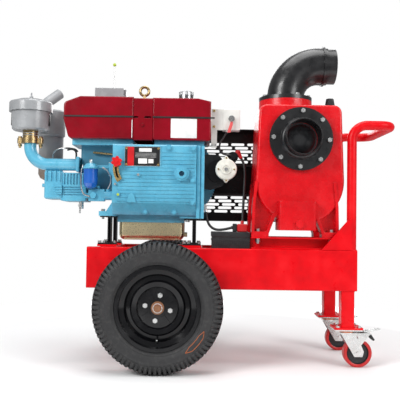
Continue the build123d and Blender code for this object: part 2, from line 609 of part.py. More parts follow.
def fuel_cap():
    """Lobed cap that drops over the filler neck."""
    cap = rod((CAP_X, CAP_Y, 1247), (CAP_X, CAP_Y, 1272), 35.5)
    lobes = [rod((x, y, 1268), (x, y, 1289), 7.5) for x, y in spots_round(CAP_X, CAP_Y, 28, 8, 0)]
    top = rod((CAP_X, CAP_Y, 1270), (CAP_X, CAP_Y, 1286), 30)
    return join([cap, top] + lobes) - rod((CAP_X, CAP_Y, 1240), (CAP_X, CAP_Y, 1256), 27.6)


def tank_trim():
    """Rubber strips over the seams of the two tanks, with a tail past the fuel tank's end."""
    strips = []
    for x0, x1 in ((HOPPER_X0 + 4, HOPPER_X1), (TANK_X0, TANK_X1 + 17)):
        strips.append(block(x0, x1, CASE_Y0 - 4, CASE_Y0 - 0.05, SEAM_Z - 3.5, SEAM_Z + 3.5))
        strips.append(block(x0, min(x1, TANK_X1), CASE_Y1 + 0.05, CASE_Y1 + 4, SEAM_Z - 3.5, SEAM_Z + 3.5))
    return strips


def filler_box():
    """Sheet filler housing with an open underside and a flange on the hopper."""
    z0, z1 = TANK_Z1 + 0.1, 1305.0
    body = block(-513, -372, -60, 50, z0, z1, 3)
    step = block(-373, -360, -48, 38, z0, z1 - 6)
    hollow = block(-509, -376, -56, 46, z0 - 1, z1 - 4)
    foot = block(-518, -354, -65, 55, z0, z0 + 3)
    bore = rod((FLOAT_X, FLOAT_Y, z1 - 10), (FLOAT_X, FLOAT_Y, z1 + 5), 2.8)
    return join([body, step, foot]) - hollow - bore


def float_gauge():
    """Float, rod and ball that show the hopper's water level."""
    rod_body = rod((FLOAT_X, FLOAT_Y, 1186), (FLOAT_X, FLOAT_Y, 1424), 2.2)
    ball = Pos(FLOAT_X, FLOAT_Y, 1428) * Sphere(8.5)
    can = rod((FLOAT_X, FLOAT_Y, 1160), (FLOAT_X, FLOAT_Y, 1190), 30)
    return join([rod_body, ball, can])


def lifting_eye():
    """Forged eye on a shouldered stem."""
    eye = Pos(-275, 0, 1302) * Rot(90, 0, 0) * Torus(21.5, 7)
    stem = rod((-275, 0, 1241.1), (-275, 0, 1278), 8)
    foot = rod((-275, 0, 1241.1), (-275, 0, 1250), 15)
    return join([eye, stem, foot])


def air_cleaner_bowl():
    """Round oil-bath bowl over the plated neck."""
    bowl = [(37, 1086.4), (80, 1086.4), (88, 1094), (93, 1181), (37, 1181)]
    return spun_z(bowl, CLEANER_X, CLEANER_Y)


def air_cleaner_cap():
    """Domed cap that overhangs the bowl, with its centre nut."""
    x, y = CLEANER_X, CLEANER_Y
    cap = [(0, 1181.4), (94, 1181.4), (94, 1177), (CLEANER_R, 1177), (CLEANER_R, 1219), (99, 1225),
           (60, 1238), (22, 1243), (12, 1246), (0, 1246)]
    stud = rod((x, y, 1244), (x, y, 1273), 4)
    nut = hexagon((x, y, 1245), (x, y, 1255), 9)
    return join([spun_z(cap, x, y), stud, nut])


def intake_neck():
    """Plated neck and two-ear flange of the air cleaner, and its two bolts."""
    x, y = CLEANER_X, CLEANER_Y
    neck = rod((x, y, 1048), (x, y, 1181), 36) - rod((x, y, 1046), (x, y, 1190), 31)
    parts = [neck + (two_ear_flange(x, y, 1038.2, 1051) - rod((x, y, 1030), (x, y, 1055), 31))]
    for s in (-1, 1):
        u = x + s * 50
        parts[0] = parts[0] - rod((u, y, 1030), (u, y, 1060), 6.1)
        bolt = rod((u, y, 1004), (u, y, 1052), 6) + hexagon((u, y, 1051.1), (u, y, 1060), 10)
        parts.append(bolt + hexagon((u, y, 1012), (u, y, 1021), 10))
    return parts


def two_ear_flange(x, y, z0, z1):
    """An oval flange plate: a round middle with an ear on each side."""
    plane = Plane.XY.offset(z0)
    middle = plane * Pos(x, y) * Circle(42)
    ears = [plane * Pos(x + s * 50, y) * Circle(13) for s in (-1, 1)]
    plate = extrude(middle, z1 - z0)
    for s, ear in zip((-1, 1), ears):
        web = block(*sorted((x, x + s * 50)), y - 13, y + 13, z0, z1)
        plate = plate + extrude(ear, z1 - z0) + web
    return plate


def intake_pipe():
    """Cast bend from the air cleaner down to the jacket, with a flange at each end."""
    x, y, z = CLEANER_X, CLEANER_Y, INTAKE_Z
    outer = tube([(x, y, 1028), (x, y, z), (-580, y, z)], 29, [88])
    inner = tube([(x, y, 1050), (x, y, z), (-570, y, z)], 24, [88])
    top = two_ear_flange(x, y, 1025, 1038)
    for s in (-1, 1):
        top = top - rod((x + s * 50, y, 1020), (x + s * 50, y, 1040), 6.1)
    end = block(-590, -575.4, y - 42, y + 34, z - 36, z + 36, 3)
    return join([outer, top, end]) - inner


def exhaust():
    """Upright two-stage silencer on its port pipe, with a slanted tail pipe."""
    x, y = MUFFLER_X, MUFFLER_Y
    can = spun_z([(0, 1087), (64, 1087), (MUFFLER_R, 1093), (MUFFLER_R, 1214), (62, 1222), (0, 1222)], x, y)
    lower = spun_z([(0, 860), (30, 860), (52, 872), (62, 892), (62, 1088), (0, 1088)], x, y)
    port = disc(-720, 880, 78.4, 124, 28)
    collar = disc(-720, 880, 78.4, 88, 38)
    elbow, end = Vector(x - 31, y, 1262), Vector(x + 27, y + 54, 1324)
    tail = tube([(x - 31, y, 1216), tuple(elbow), tuple(end)], 27, [36])
    bore = rod(tuple(elbow + (end - elbow) * 0.5), tuple(end + (end - elbow) * 0.2), 24)
    return join([can, lower, port, collar, tail]) - bore


def fuel_filter_bowl():
    """The filter's pressed bowl."""
    profile = [(0, 807), (12, 807), (26, 815), (33.5, 832), (33.5, 899.8), (0, 899.8)]
    return spun_z(profile, FILTER_X, FILTER_Y)


def injection_group():
    """Filter head, its bracket, the injection pump, the lift pump and the drain cock's body."""
    x, y = FILTER_X, FILTER_Y
    head = spun_z([(0, 900), (36, 900), (36, 908), (24, 924), (9, 930), (9, 944), (0, 944)], x, y)
    arm = block(x, -404, -120, -100, 906, 920, 3)
    tie = block(-430, -403.3, -124, -96, 868, 934, 4)
    return [join([head, arm, tie]), injection_pump(), drain_cock()]


def injection_pump():
    """Pump block with its barrel, feed boss and rack link."""
    body = block(-524, -446, -122, -84, 748, 806, 5)
    nose = disc(-500, 776, -134, -116, 15)
    barrel = rod((-452, -104, 776), (-403.4, -104, 776), 22)
    tower = rod((-433, -104, 770), (-433, -104, 806), 11)
    neck = rod((-480, -104, 800), (-480, -104, 822), 9)
    link = block(-540.6, -515, -104, -60, 763, 788)
    return join([body, nose, barrel, tower, neck, link])


def drain_cock():
    """Body of the cylinder's drain cock."""
    stem = rod((-566, -66, 712), (-566, -66, 746.6), 11)
    nose = disc(-566, 728, -92, -60, 7)
    return stem + nose


def drain_lever():
    """Lever of the cylinder's drain cock."""
    boss = disc(-566, 728, -104, -92.4, 9)
    arm = block(-569.5, -562.5, -103, -97, 690, 726)
    return boss + arm


def fuel_pipes():
    """Steel fuel pipes, the injector line and the leak-off line over the head."""
    y = FILTER_Y
    routes = [
        ([(-458, y, 908), (-436, y, 896), (-416, y, 862), (-418, -130, 834), (-433, -116, 806.6)], 3.5),
        ([(-549, y, 918), (-556, y, 896), (-558, y, 850), (-556, y, 806), (-546, y, 780), (-515.4, y, 770)],
         3.5),
        ([(-595, -30, 992), (-606, -34, 1004), (-640, -30, 1010), (-690, -20, 1008), (-716, -10, 996),
          (-726, 0, 960), (-726, 0, 901.4)], 4.0),
        ([(-512, -75, 985), (-403.4, -75, 976)], 5.5),
        ([(-655, 20, 1006), (-634, 8, 1010), (-612, -10, 1002), (-602, -30, 984), (-600, -44, 958)], 4.5),
    ]
    pipes = [tube(points, r) for points, r in routes if len(points) > 2]
    straight = [rod(points[0], points[1], r) for points, r in routes if len(points) == 2]
    return pipes + straight


def nameplate():
    """Blank riveted plate with its four screws."""
    front = COVER_Y - 3.6
    plate = block(-346, -182, front - 1.6, front, 912, 1003)
    screws = [disc(x, z, front - 4, front - 1, 5) for x in (-338, -190) for z in (920, 995)]
    return join([plate] + screws)


def starter_motor():
    """Starter, its pinion and solenoid, the pale end frame, and the bracket that holds them."""
    x, z = STARTER_X, STARTER_Z
    body = disc(x, z, -112, 60, 46) + disc(x, z, 60, 84, 30)
    body = body + disc(x, z, 84, 112, FLYWHEEL_R * 0.12)
    flange = disc(96, 906, -60, -44, 55)
    solenoid = disc(SOLENOID_X, SOLENOID_Z, -70, 30, 25) + disc(SOLENOID_X, SOLENOID_Z, -84, -69, 12)
    saddle = block(140, 176, -30, 10, 940, 965)
    plug = ferrule(WIRING_LOOM[::-1], 26, 6)
    core = join([body, flange, solenoid, saddle, plug])
    plate = side_plate([(26.4, 820), (60, 815), (118, 836), (140, 870), (140, 940), (96, 990), (26.4, 990)],
                       -20, -4)
    plate = plate - disc(x, z, -22, 0, 46.4)
    core = core - plate
    return [core, plate, end_frame()]


def end_frame():
    """The starter's domed end cap with its two ears."""
    x, z = STARTER_X, STARTER_Z
    cap = disc(x, z, -130, -112.2, 51)
    cap = fillet(cap.edges().sort_by(Axis.Y)[0], 7)
    shapes = [cap, ring(x, z, -134, -129, 24, 18), disc(x, z, -132, -129, 12)]
    for s in (-1, 1):
        shapes.append(disc(x, z + s * 54, -126, -112.2, 9))
        shapes.append(block(x - 13, x + 13, -125, -112.2, *sorted((z + s * 20, z + s * 54))))
        shapes.append(disc(x + s * 37, z, -133, -129, 5))
        shapes.append(disc(x, z + s * 54, -131, -125, 5))
    return join(shapes)


def terminal_boots():
    """Rubber boots over the solenoid's stud and the battery's positive post."""
    start, after = Vector(*POSITIVE_LEAD[0]), Vector(*POSITIVE_LEAD[1])
    axis = (after - start).normalized()
    top = start - axis * 34
    boot = Solid.make_cone(13, 7.5, 34, Plane(origin=tuple(top), z_dir=tuple(axis)))
    knob = Pos(*tuple(top)) * Sphere(14)
    post = block(182.4, 234, -172, -130, BATTERY[5] + 0.1, 650, 8)
    collar = ferrule(POSITIVE_LEAD[::-1], 24, 8)
    return [boot + knob - disc(SOLENOID_X, SOLENOID_Z, -90, 0, 25.2), post + collar]


def negative_lug():
    """Terminal that the engine end of the negative lead is crimped into."""
    sleeve = ferrule(NEGATIVE_LEAD, 16, 7.5)
    eye = block(CASE_X1 + 0.1, 40, -132, -104, 714, 740, 2)
    return sleeve + eye


def battery():
    """Ribbed case with an overhanging lid, and the clamp on its negative post."""
    x0, x1, y0, y1, z0, z1 = BATTERY
    case = block(x0 + 3, x1 - 3, y0 + 3, y1 - 3, z0 + 0.1, z1 - 10)
    shapes = [case, block(x0, x1, y0, y1, z1 - 24, z1, 3)]
    shapes.append(block(x0 + 1, x1 - 1, y0 + 1, y1 - 1, z1 - 42, z1 - 34))
    count = 17
    for k in range(count):
        x = x0 + 8 + (x1 - x0 - 16) * k / (count - 1)
        shapes.append(block(x - 2, x + 2, y0 + 1, y0 + 4, z0 + 6, z1 - 40))
    clamp = block(163, 182, POST_Y - 14, POST_Y + 14, z1 + 0.2, z1 + 39, 3)
    clamp = clamp + ferrule(NEGATIVE_LEAD[::-1], 12, 8)
    return [join(shapes), clamp]


def control_box():
    """Sheet control box with its key switch, on the bracket screwed to the tank's end."""
    box = block(113, 195, -100, -40, 1100, 1202, 3)
    wide = block(57, 115, -97, -93, 1100, 1202)
    leg = block(57, 85, -97, -93, 1016, 1102)
    tab = block(TANK_X1 + 0.1, 60, -97, -40, 1090, 1140)
    gland = ferrule(WIRING_LOOM, 14, 6.5)
    body = join([box, wide, leg, tab, gland]) - disc(154, 1156, -101, -60, 4 + FIT)
    barrel = ring(154, 1156, -106, -100.05, 15, 4.4)
    screws = [disc(70, z, -100, -97.05, 6) for z in (1117, 1194)]
    return [body, barrel] + screws


def ignition_key():
    """Key with its hanging tag."""
    blade = disc(154, 1156, -118, -66, 4)
    bow = block(151.5, 156.5, -124, -110, 1138, 1168)
    tag = side_plate([(150, 1142), (159, 1142), (160, 1126), (148, 1086), (133, 1086), (144, 1124)],
                     -121, -117)
    return join([blade, bow, tag])


def rounded_slab(inset, y0, y1):
    """The belt guard's outline with round corners, drawn in by inset, from y0 to y1."""
    body = block(GUARD_X0 + inset, GUARD_X1 - inset, y0, y1, GUARD_Z0 + inset, GUARD_Z1 - inset)
    return fillet(body.edges().filter_by(Axis.Y), GUARD_CORNER - inset)


def belt_guard():
    """Sheet cover over the belts: a slotted back, four rim strips, four rolled corners and two stays."""
    back = GUARD_Y1 - SHEET
    plate = rounded_slab(0, back, GUARD_Y1)
    rows = list(zip((1081, 1062, 1043, 1024, 1005, 986), (0, 21, 42, 21, 0, 21)))
    rows = rows + list(zip((792, 773, 754, 736, 717), (0, 21, 42, 21, 0)))
    plane = Plane(origin=(0, GUARD_Y1 + 1, 0), x_dir=(1, 0, 0), z_dir=(0, -1, 0))
    slots = []
    for z, shift in rows:
        for k in range(-5, 5):
            x = 125 + shift + SLOT_PITCH * k
            if GUARD_X0 + 60 < x < GUARD_X1 - 60:
                slots.append(plane * Pos(x, z) * SlotOverall(SLOT_L, SLOT_H))
    plate = plate - extrude(Sketch() + slots, 5)
    rim = rounded_slab(0, GUARD_Y0, back) - rounded_slab(SHEET, GUARD_Y0 - 1, back + 1)
    corners = []
    for x0, x1 in ((GUARD_X0 - 1, GUARD_X0 + GUARD_CORNER), (GUARD_X1 - GUARD_CORNER, GUARD_X1 + 1)):
        for z0, z1 in ((GUARD_Z0 - 1, GUARD_Z0 + GUARD_CORNER), (GUARD_Z1 - GUARD_CORNER, GUARD_Z1 + 1)):
            corners.append(block(x0, x1, GUARD_Y0 - 1, back + 1, z0, z1))
    rolled = [(rim & corner).solids()[0] for corner in corners]
    strips = list((rim - corners).solids())
    stays = [block(GUARD_X0 - 4, GUARD_X0 - 0.1, CASE_Y1 + 0.2, 260, 850, 920),
             block(GUARD_X1 + 0.1, GUARD_X1 + 4, PUMP_Y1 + 0.2, 260, 1030, 1080)]
    feet = [block(GUARD_X0 - 38, GUARD_X0 - 0.1, CASE_Y1 + 0.2, CASE_Y1 + 4, 850, 920),
            block(GUARD_X1 + 0.1, GUARD_X1 + 46, PUMP_Y1 + 0.2, PUMP_Y1 + 4, 1030, 1080)]
    return [plate] + strips + rolled + [stay + foot for stay, foot in zip(stays, feet)]


def belt_face(y, grow):
    """The outline of a belt round both pulleys, as a face at y."""
    a = Pos(CRANK_X, CRANK_Z) * Circle(ENGINE_PULLEY_R - GROOVE + GAP + grow)
    b = Pos(PUMP_X, PUMP_Z) * Circle(PUMP_PULLEY_R - GROOVE + GAP + grow)
    face = make_hull(a.edges() + b.edges())
    return Plane(origin=(0, y, 0), x_dir=(1, 0, 0), z_dir=(0, -1, 0)) * face


def drive_belts():
    """The set of V-belts round both pulleys."""
    belts = []
    for k in range(BELTS):
        y = BELT_Y0 + BELT_PITCH * k
        outer = extrude(belt_face(y - BELT_W / 2, BELT_H), amount=BELT_W, dir=(0, 1, 0))
        inner = extrude(belt_face(y - BELT_W / 2 - 1, 0), amount=BELT_W + 2, dir=(0, 1, 0))
        belts.append(outer - inner)
    return belts


def pulley(x, z, r, shaft):
    """A pulley with one groove for each belt."""
    y0 = BELT_Y0 - BELT_PITCH / 2
    y1 = BELT_Y0 + BELT_PITCH * (BELTS - 0.5)
    body = disc(x, z, y0, y1, r)
    for k in range(BELTS):
        y = BELT_Y0 + BELT_PITCH * k
        body = body - ring(x, z, y - BELT_W / 2 - GAP, y + BELT_W / 2 + GAP, r + 1, r - GROOVE)
    body = body - disc(x, z, y1 - 18, y1 + 1, r * 0.62) + disc(x, z, y1 - 19, y1 - 4, shaft + 16)
    return body - disc(x, z, y0 - 1, y1 + 1, shaft)


def flywheel():
    """Heavy rim, web and hub, with the starter's ring gear."""
    rim = ring(CRANK_X, CRANK_Z, FLYWHEEL_Y0, FLYWHEEL_Y1, FLYWHEEL_R - 8, 160)
    web = ring(CRANK_X, CRANK_Z, 150, 172, 161, CRANK_R)
    hub = ring(CRANK_X, CRANK_Z, 128, 200, 55, CRANK_R)
    points = []
    for k in range(RING_TEETH * 2):
        r = FLYWHEEL_R if k % 2 else FLYWHEEL_R - 6
        a = math.pi * k / RING_TEETH
        points.append((CRANK_X + r * math.cos(a), CRANK_Z + r * math.sin(a)))
    teeth = side_plate(points, FLYWHEEL_Y0, FLYWHEEL_Y0 + 14)
    teeth = teeth - disc(CRANK_X, CRANK_Z, FLYWHEEL_Y0 - 1, FLYWHEEL_Y0 + 15, FLYWHEEL_R - 18)
    return join([rim, web, hub, teeth])


def crankshaft():
    """Journals, webs and crank pin, and the tail that carries flywheel and pulley."""
    x, z = CRANK_X, CRANK_Z
    shapes = [disc(x, z, -128, -50, CRANK_R), disc(x, z, 30, 294, CRANK_R)]
    for y in (-52, 10):
        shapes.append(disc(x, z, y, y + 22, 62))
        shapes.append(disc(x - 48, z, y, y + 22, 36))
    shapes.append(disc(x - 48, z, -52, 32, 26))
    return join(shapes)


# ---------------------------------------------------------------- pump
def casing_block(inset, y0, y1):
    """The casing's body: a round bottom that widens into a box with rounded top corners."""
    r, top, half = ROUND_R - inset, PUMP_TOP - inset, CASING_HALF - inset
    box = side_plate([(CASING_X - r, ROUND_Z), (CASING_X + r, ROUND_Z), (CASING_X + half, top),
                      (CASING_X - half, top)], y0, y1)
    box = fillet(box.edges().filter_by(Axis.Y).sort_by(Axis.Z)[2:], CASING_CORNER - inset)
    return box + disc(CASING_X, ROUND_Z, y0, y1, r)


def pump_casing():
    """Self-priming casing with its sump box, discharge neck, splayed feet and flap lugs."""
    shell = casing_block(0, PUMP_Y0, PUMP_Y1)
    front = shell.faces().filter_by(Axis.Y).sort_by(Axis.Y)[0]
    shell = fillet(front.outer_wire().edges(), 12)
    pad = rod((OUTLET_X, OUTLET_Y, PUMP_TOP - 12), (OUTLET_X, OUTLET_Y, DISCHARGE_Z0), OUTLET_FLANGE_R)
    boss = rod((PLUG_X, PLUG_Y, PUMP_TOP - 25), (PLUG_X, PLUG_Y, PUMP_TOP), 29)
    face_pad = disc(FLANGE_X, FLANGE_Z, -204.8, PUMP_Y0 + 12, FLANGE_R - 3)
    back_pad = disc(PUMP_X, PUMP_Z, PUMP_Y1 - 5, PUMP_Y1 + 14, 135)
    sump = block(368, 540, -250, -120, 624, 758)
    sump = fillet(sump.edges().filter_by(Axis.Z).sort_by(Axis.Y)[:2], 12)
    plug = hexagon((461, -264, 654), (461, -249, 654), 20)
    body = join([shell, pad, boss, face_pad, back_pad, sump, plug])
    for y0 in FOOT_Y:
        for s in (-1, 1):
            body = body + pump_foot(y0, s)
    body = body - casing_block(PUMP_WALL, PUMP_Y0 + PUMP_WALL, PUMP_Y1 - PUMP_WALL)
    body = body - disc(FLANGE_X, FLANGE_Z, -210, PUMP_Y0 + 12, SPIGOT_BORE)
    body = body - rod((OUTLET_X, OUTLET_Y, 1180), (OUTLET_X, OUTLET_Y, 1260), OUTLET_BORE)
    body = body - disc(PUMP_X, PUMP_Z, PUMP_Y1 - 12, PUMP_Y1 + 20, 60)
    body = body - rod((PLUG_X, PLUG_Y, 1180), (PLUG_X, PLUG_Y, PUMP_TOP + 5), 16.1)
    front, top = flange_bolts()
    for x, z in front:
        body = body - disc(x, z, -206, PUMP_Y0 + 7, 6.6)
    for x, y in top:
        body = body - rod((x, y, 1220), (x, y, DISCHARGE_Z0 + 1), 6.6)
    for s in (-1, 1):
        x0, x1 = sorted((FLANGE_X + s * 20, FLANGE_X + s * 32))
        lug = block(x0, x1, PUMP_Y0 + 6, FLAP_Y + 10, FLAP_Z - 10, FLAP_Z + 10)
        pivot = rod((FLANGE_X - 60, FLAP_Y, FLAP_Z), (FLANGE_X + 60, FLAP_Y, FLAP_Z), 4 + FIT)
        body = body + (lug - pivot)
    return body


def pump_foot(y0, s):
    """One splayed foot: two edge ribs, a recessed web and a bolted pad."""
    y1 = y0 + FOOT_DEPTH

    def part(points, a, b):
        return side_plate([(FEET_X + s * x, z) for x, z in points], a, b)
    outer = part([(190, 850), (200, 730), (203, 603), (190, 603), (187, 730), (174, 850)], y0, y1)
    inner = part([(78, 700), (96, 680), (125, 603), (138, 603), (110, 690), (96, 712)], y0, y1)
    web = part([(188, 830), (199, 730), (202, 605), (127, 605), (96, 680), (80, 698)], y1 - 14, y1)
    x0, x1 = sorted((FEET_X + s * 123, FEET_X + s * 203))
    pad = block(x0, x1, y0, y1, 591, 617)
    bolt = FEET_X + s * 171
    return join([outer, inner, web, pad]) - rod((bolt, y0 + 27, 585), (bolt, y0 + 27, 620), 7.5)


def suction_flap():
    """Weighted non-return flap, hung from its pin behind the suction port."""
    front = PUMP_Y0 + PUMP_WALL + GAP
    plate = disc(FLANGE_X, FLANGE_Z, front, front + 7, 84)
    dome_r, rise, ball = 71.0, 26.0, 110.0
    dome = Pos(FLANGE_X, front - rise + ball, FLANGE_Z) * Sphere(ball)
    dome = dome & disc(FLANGE_X, FLANGE_Z, front - rise - 1, front + 1, dome_r)
    arm = block(FLANGE_X - 14, FLANGE_X + 14, front + 1, FLAP_Y + 6, FLANGE_Z + 60, FLAP_Z)
    pin = rod((FLANGE_X - 34, FLAP_Y, FLAP_Z), (FLANGE_X + 34, FLAP_Y, FLAP_Z), 4)
    eye = rod((FLANGE_X - 14, FLAP_Y, FLAP_Z), (FLANGE_X + 14, FLAP_Y, FLAP_Z), 9)
    return join([plate, dome, arm, eye, pin])


def suction_spigot():
    """Flange with the hose spigot and its raised collar."""
    face, end = PUMP_Y0 - 5.0, -305.0
    body = spun([(face, SPIGOT_BORE), (face, FLANGE_R), (-225, FLANGE_R), (-225, 98), (-236, 90),
                 (-240, SPIGOT_R), (end + 8, SPIGOT_R), (end, SPIGOT_R - 2), (end, SPIGOT_BORE)],
                FLANGE_X, FLANGE_Z)
    for x, z in flange_bolts()[0]:
        body = body - disc(x, z, -228, -200, 6.6)
    return body


def discharge_elbow():
    """Flanged ninety-degree bend with a beaded hose end."""
    x, y, z = OUTLET_X, OUTLET_Y, OUTLET_Z
    outer = tube([(x, y, DISCHARGE_Z0 + 4), (x, y, z), (OUTLET_END_X - 40, y, z)], OUTLET_R, [OUTLET_BEND])
    inner = tube([(x, y, 1232), (x, y, z), (OUTLET_END_X + 10, y, z)], OUTLET_BORE, [OUTLET_BEND])
    spigot = rod((OUTLET_END_X - 60, y, z), (OUTLET_END_X, y, z), OUTLET_R - 5)
    flange = rod((x, y, DISCHARGE_Z0 + 0.2), (x, y, DISCHARGE_Z1), OUTLET_FLANGE_R)
    bead = rod((596, y, z), (606, y, z), OUTLET_R + 6)
    body = join([outer, spigot, flange, bead]) - inner
    for u, v in flange_bolts()[1]:
        body = body - rod((u, v, DISCHARGE_Z0 - 1), (u, v, DISCHARGE_Z1 + 1), 6.6)
    return body


def priming_plug():
    """Tapered hexagonal plug of the priming hole."""
    thread = rod((PLUG_X, PLUG_Y, 1190), (PLUG_X, PLUG_Y, PUMP_TOP + 4), 16)
    base = Plane.XY.offset(PUMP_TOP + 0.1) * Pos(PLUG_X, PLUG_Y) * RegularPolygon(27, 6)
    top = Plane.XY.offset(PUMP_TOP + 47) * Pos(PLUG_X, PLUG_Y) * RegularPolygon(18, 6)
    return thread + loft([base.faces()[0], top.faces()[0]])


def bearing_housing():
    """The shaft's bearing frame behind the casing."""
    y0 = PUMP_Y1 + 14.2
    profile = [(y0, SHAFT_R + FIT), (y0, 120), (y0 + 14, 120), (y0 + 18, 62), (y0 + 96, 56),
               (y0 + 104, 66), (y0 + 124, 66), (y0 + 124, SHAFT_R + FIT)]
    return spun(profile, PUMP_X, PUMP_Z)


def pump_shaft():
    """Shaft with its keyed impeller."""
    x, z = PUMP_X, PUMP_Z
    shapes = [disc(x, z, -60, 292, SHAFT_R), disc(x, z, -40, -30, 95), disc(x, z, -88, -36, 32)]
    for k in range(4):
        a = math.radians(90 * k)
        points = [(x + r * math.cos(t), z + r * math.sin(t))
                  for r, t in ((28, a), (94, a + 0.6), (92, a + 0.7), (28, a + 0.25))]
        shapes.append(side_plate(points, -78, -36))
    return join(shapes)


# ---------------------------------------------------------------- write the nodes
rail = side_rail()
save("side_rails", rail, mirrored(rail))
save("cross_members", *cross_members(), caster_post(-1), caster_post(1))
save("push_handle", push_handle())
save("wheel_axle", wheel_axle())
for label, side in (("near", -1), ("far", 1)):
    save(f"tyre_{label}", tyre(side))
    save(f"wheel_rim_{label}", wheel_rim(side))
    save(f"caster_fork_{label}", caster_fork(side))
    save(f"caster_wheel_{label}", caster_wheel(side))
    save(f"caster_pedal_{label}", caster_pedal(side))
save("engine_stands", *engine_stands())
save("crankcase", crankcase())
save("gear_cover", *gear_cover(), throttle_quadrant())
save("cylinder_head", cylinder_head())
save("oil_pan", oil_pan())
save("zinc_fixings", *zinc_fixings(), negative_lug())
save("coolant_hopper", coolant_hopper())
save("tank_bracket", tank_bracket())
save("fuel_tank", fuel_tank())
save("fuel_cap", fuel_cap())
save("tank_trim", *tank_trim())
save("filler_box", filler_box())
save("float_gauge", float_gauge())
save("lifting_eye", lifting_eye())
save("air_cleaner_bowl", air_cleaner_bowl())
save("air_cleaner_cap", air_cleaner_cap())
save("intake_neck", *intake_neck())
save("intake_pipe", intake_pipe())
save("exhaust", exhaust())
save("fuel_filter_bowl", fuel_filter_bowl())
save("injection_group", *injection_group())
save("drain_lever", drain_lever())
save("fuel_pipes", *fuel_pipes())
save("negative_lead", lead("negative_lead", NEGATIVE_LEAD))
save("positive_lead", lead("positive_lead", POSITIVE_LEAD))
save("wiring_loom", lead("wiring_loom", WIRING_LOOM))
save("nameplate", nameplate())
save("throttle_knob", throttle_knob())
save("starter_motor", *starter_motor())
save("terminal_boots", *terminal_boots())
save("control_box", *control_box())
save("ignition_key", ignition_key())
save("belt_guard", *belt_guard())
save("drive_belts", *drive_belts())
save("flywheel", flywheel())
save("crankshaft", crankshaft())
save("engine_pulley", pulley(CRANK_X, CRANK_Z, ENGINE_PULLEY_R, CRANK_R))
save("pump_pulley", pulley(PUMP_X, PUMP_Z, PUMP_PULLEY_R, SHAFT_R))
save("pump_shaft", pump_shaft())
save("pump_casing", pump_casing())
save("bearing_housing", bearing_housing())
save("suction_spigot", suction_spigot())
save("suction_flap", suction_flap())
save("discharge_elbow", discharge_elbow())
save("priming_plug", priming_plug())
save("battery", *battery())
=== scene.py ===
"""Visual model of a trolley-mounted fire pump: materials, tyres, leads and small trim.

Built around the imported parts, in their own frame: X along the cart towards the push handle,
Y away from the gear cover, Z up. Places are in millimetres, times MM, unless metres are stated.
"""

import json
import math

import bmesh
import bpy
from mathutils import Matrix, Vector


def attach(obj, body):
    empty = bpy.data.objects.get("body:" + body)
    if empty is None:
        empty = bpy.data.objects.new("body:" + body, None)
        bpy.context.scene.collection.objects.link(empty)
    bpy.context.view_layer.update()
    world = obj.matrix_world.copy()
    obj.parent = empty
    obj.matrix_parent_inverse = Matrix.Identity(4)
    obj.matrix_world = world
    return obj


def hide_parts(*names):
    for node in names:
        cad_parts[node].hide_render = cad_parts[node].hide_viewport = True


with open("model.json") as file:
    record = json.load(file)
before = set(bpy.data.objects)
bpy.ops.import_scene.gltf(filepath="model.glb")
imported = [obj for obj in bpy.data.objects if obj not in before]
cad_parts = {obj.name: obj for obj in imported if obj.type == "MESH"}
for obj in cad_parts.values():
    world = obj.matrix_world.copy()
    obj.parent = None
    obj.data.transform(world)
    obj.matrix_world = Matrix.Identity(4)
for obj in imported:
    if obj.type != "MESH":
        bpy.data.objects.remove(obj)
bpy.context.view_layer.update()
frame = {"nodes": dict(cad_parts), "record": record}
NODES = frame["nodes"]
scene = bpy.context.scene
MM = 0.001

# ---------------------------------------------------------------- camera
VIEW_FROM = (-0.018, -3.100, 0.6555)
YAW_DEG, PITCH_DEG, ROLL_DEG = -0.49, 2.03, 0.85
LENS_MM, SENSOR_MM = 56.34, 36.0


def turned(degrees, axis):
    """A rotation about a world axis."""
    return Matrix.Rotation(math.radians(degrees), 4, axis)


def make_camera():
    """The view from the gear cover's side, slightly from below the tank."""
    data = bpy.data.cameras.new("camera")
    data.lens = LENS_MM
    data.sensor_width = SENSOR_MM
    data.clip_end = 60.0
    cam = bpy.data.objects.new("camera", data)
    scene.collection.objects.link(cam)
    aim = turned(YAW_DEG, "Z") @ turned(90 + PITCH_DEG, "X") @ turned(ROLL_DEG, "Z")
    cam.matrix_world = Matrix.Translation(VIEW_FROM) @ aim
    scene.camera = cam


make_camera()


# ---------------------------------------------------------------- materials
MIX_FACTOR, MIX_A, MIX_B, MIX_RESULT = 0, 6, 7, 2      # a colour mix node's sockets
DUST = (0.42, 0.40, 0.37)
BURNT = (0.17, 0.12, 0.085)
RUBBER_DUST = (0.32, 0.31, 0.29)


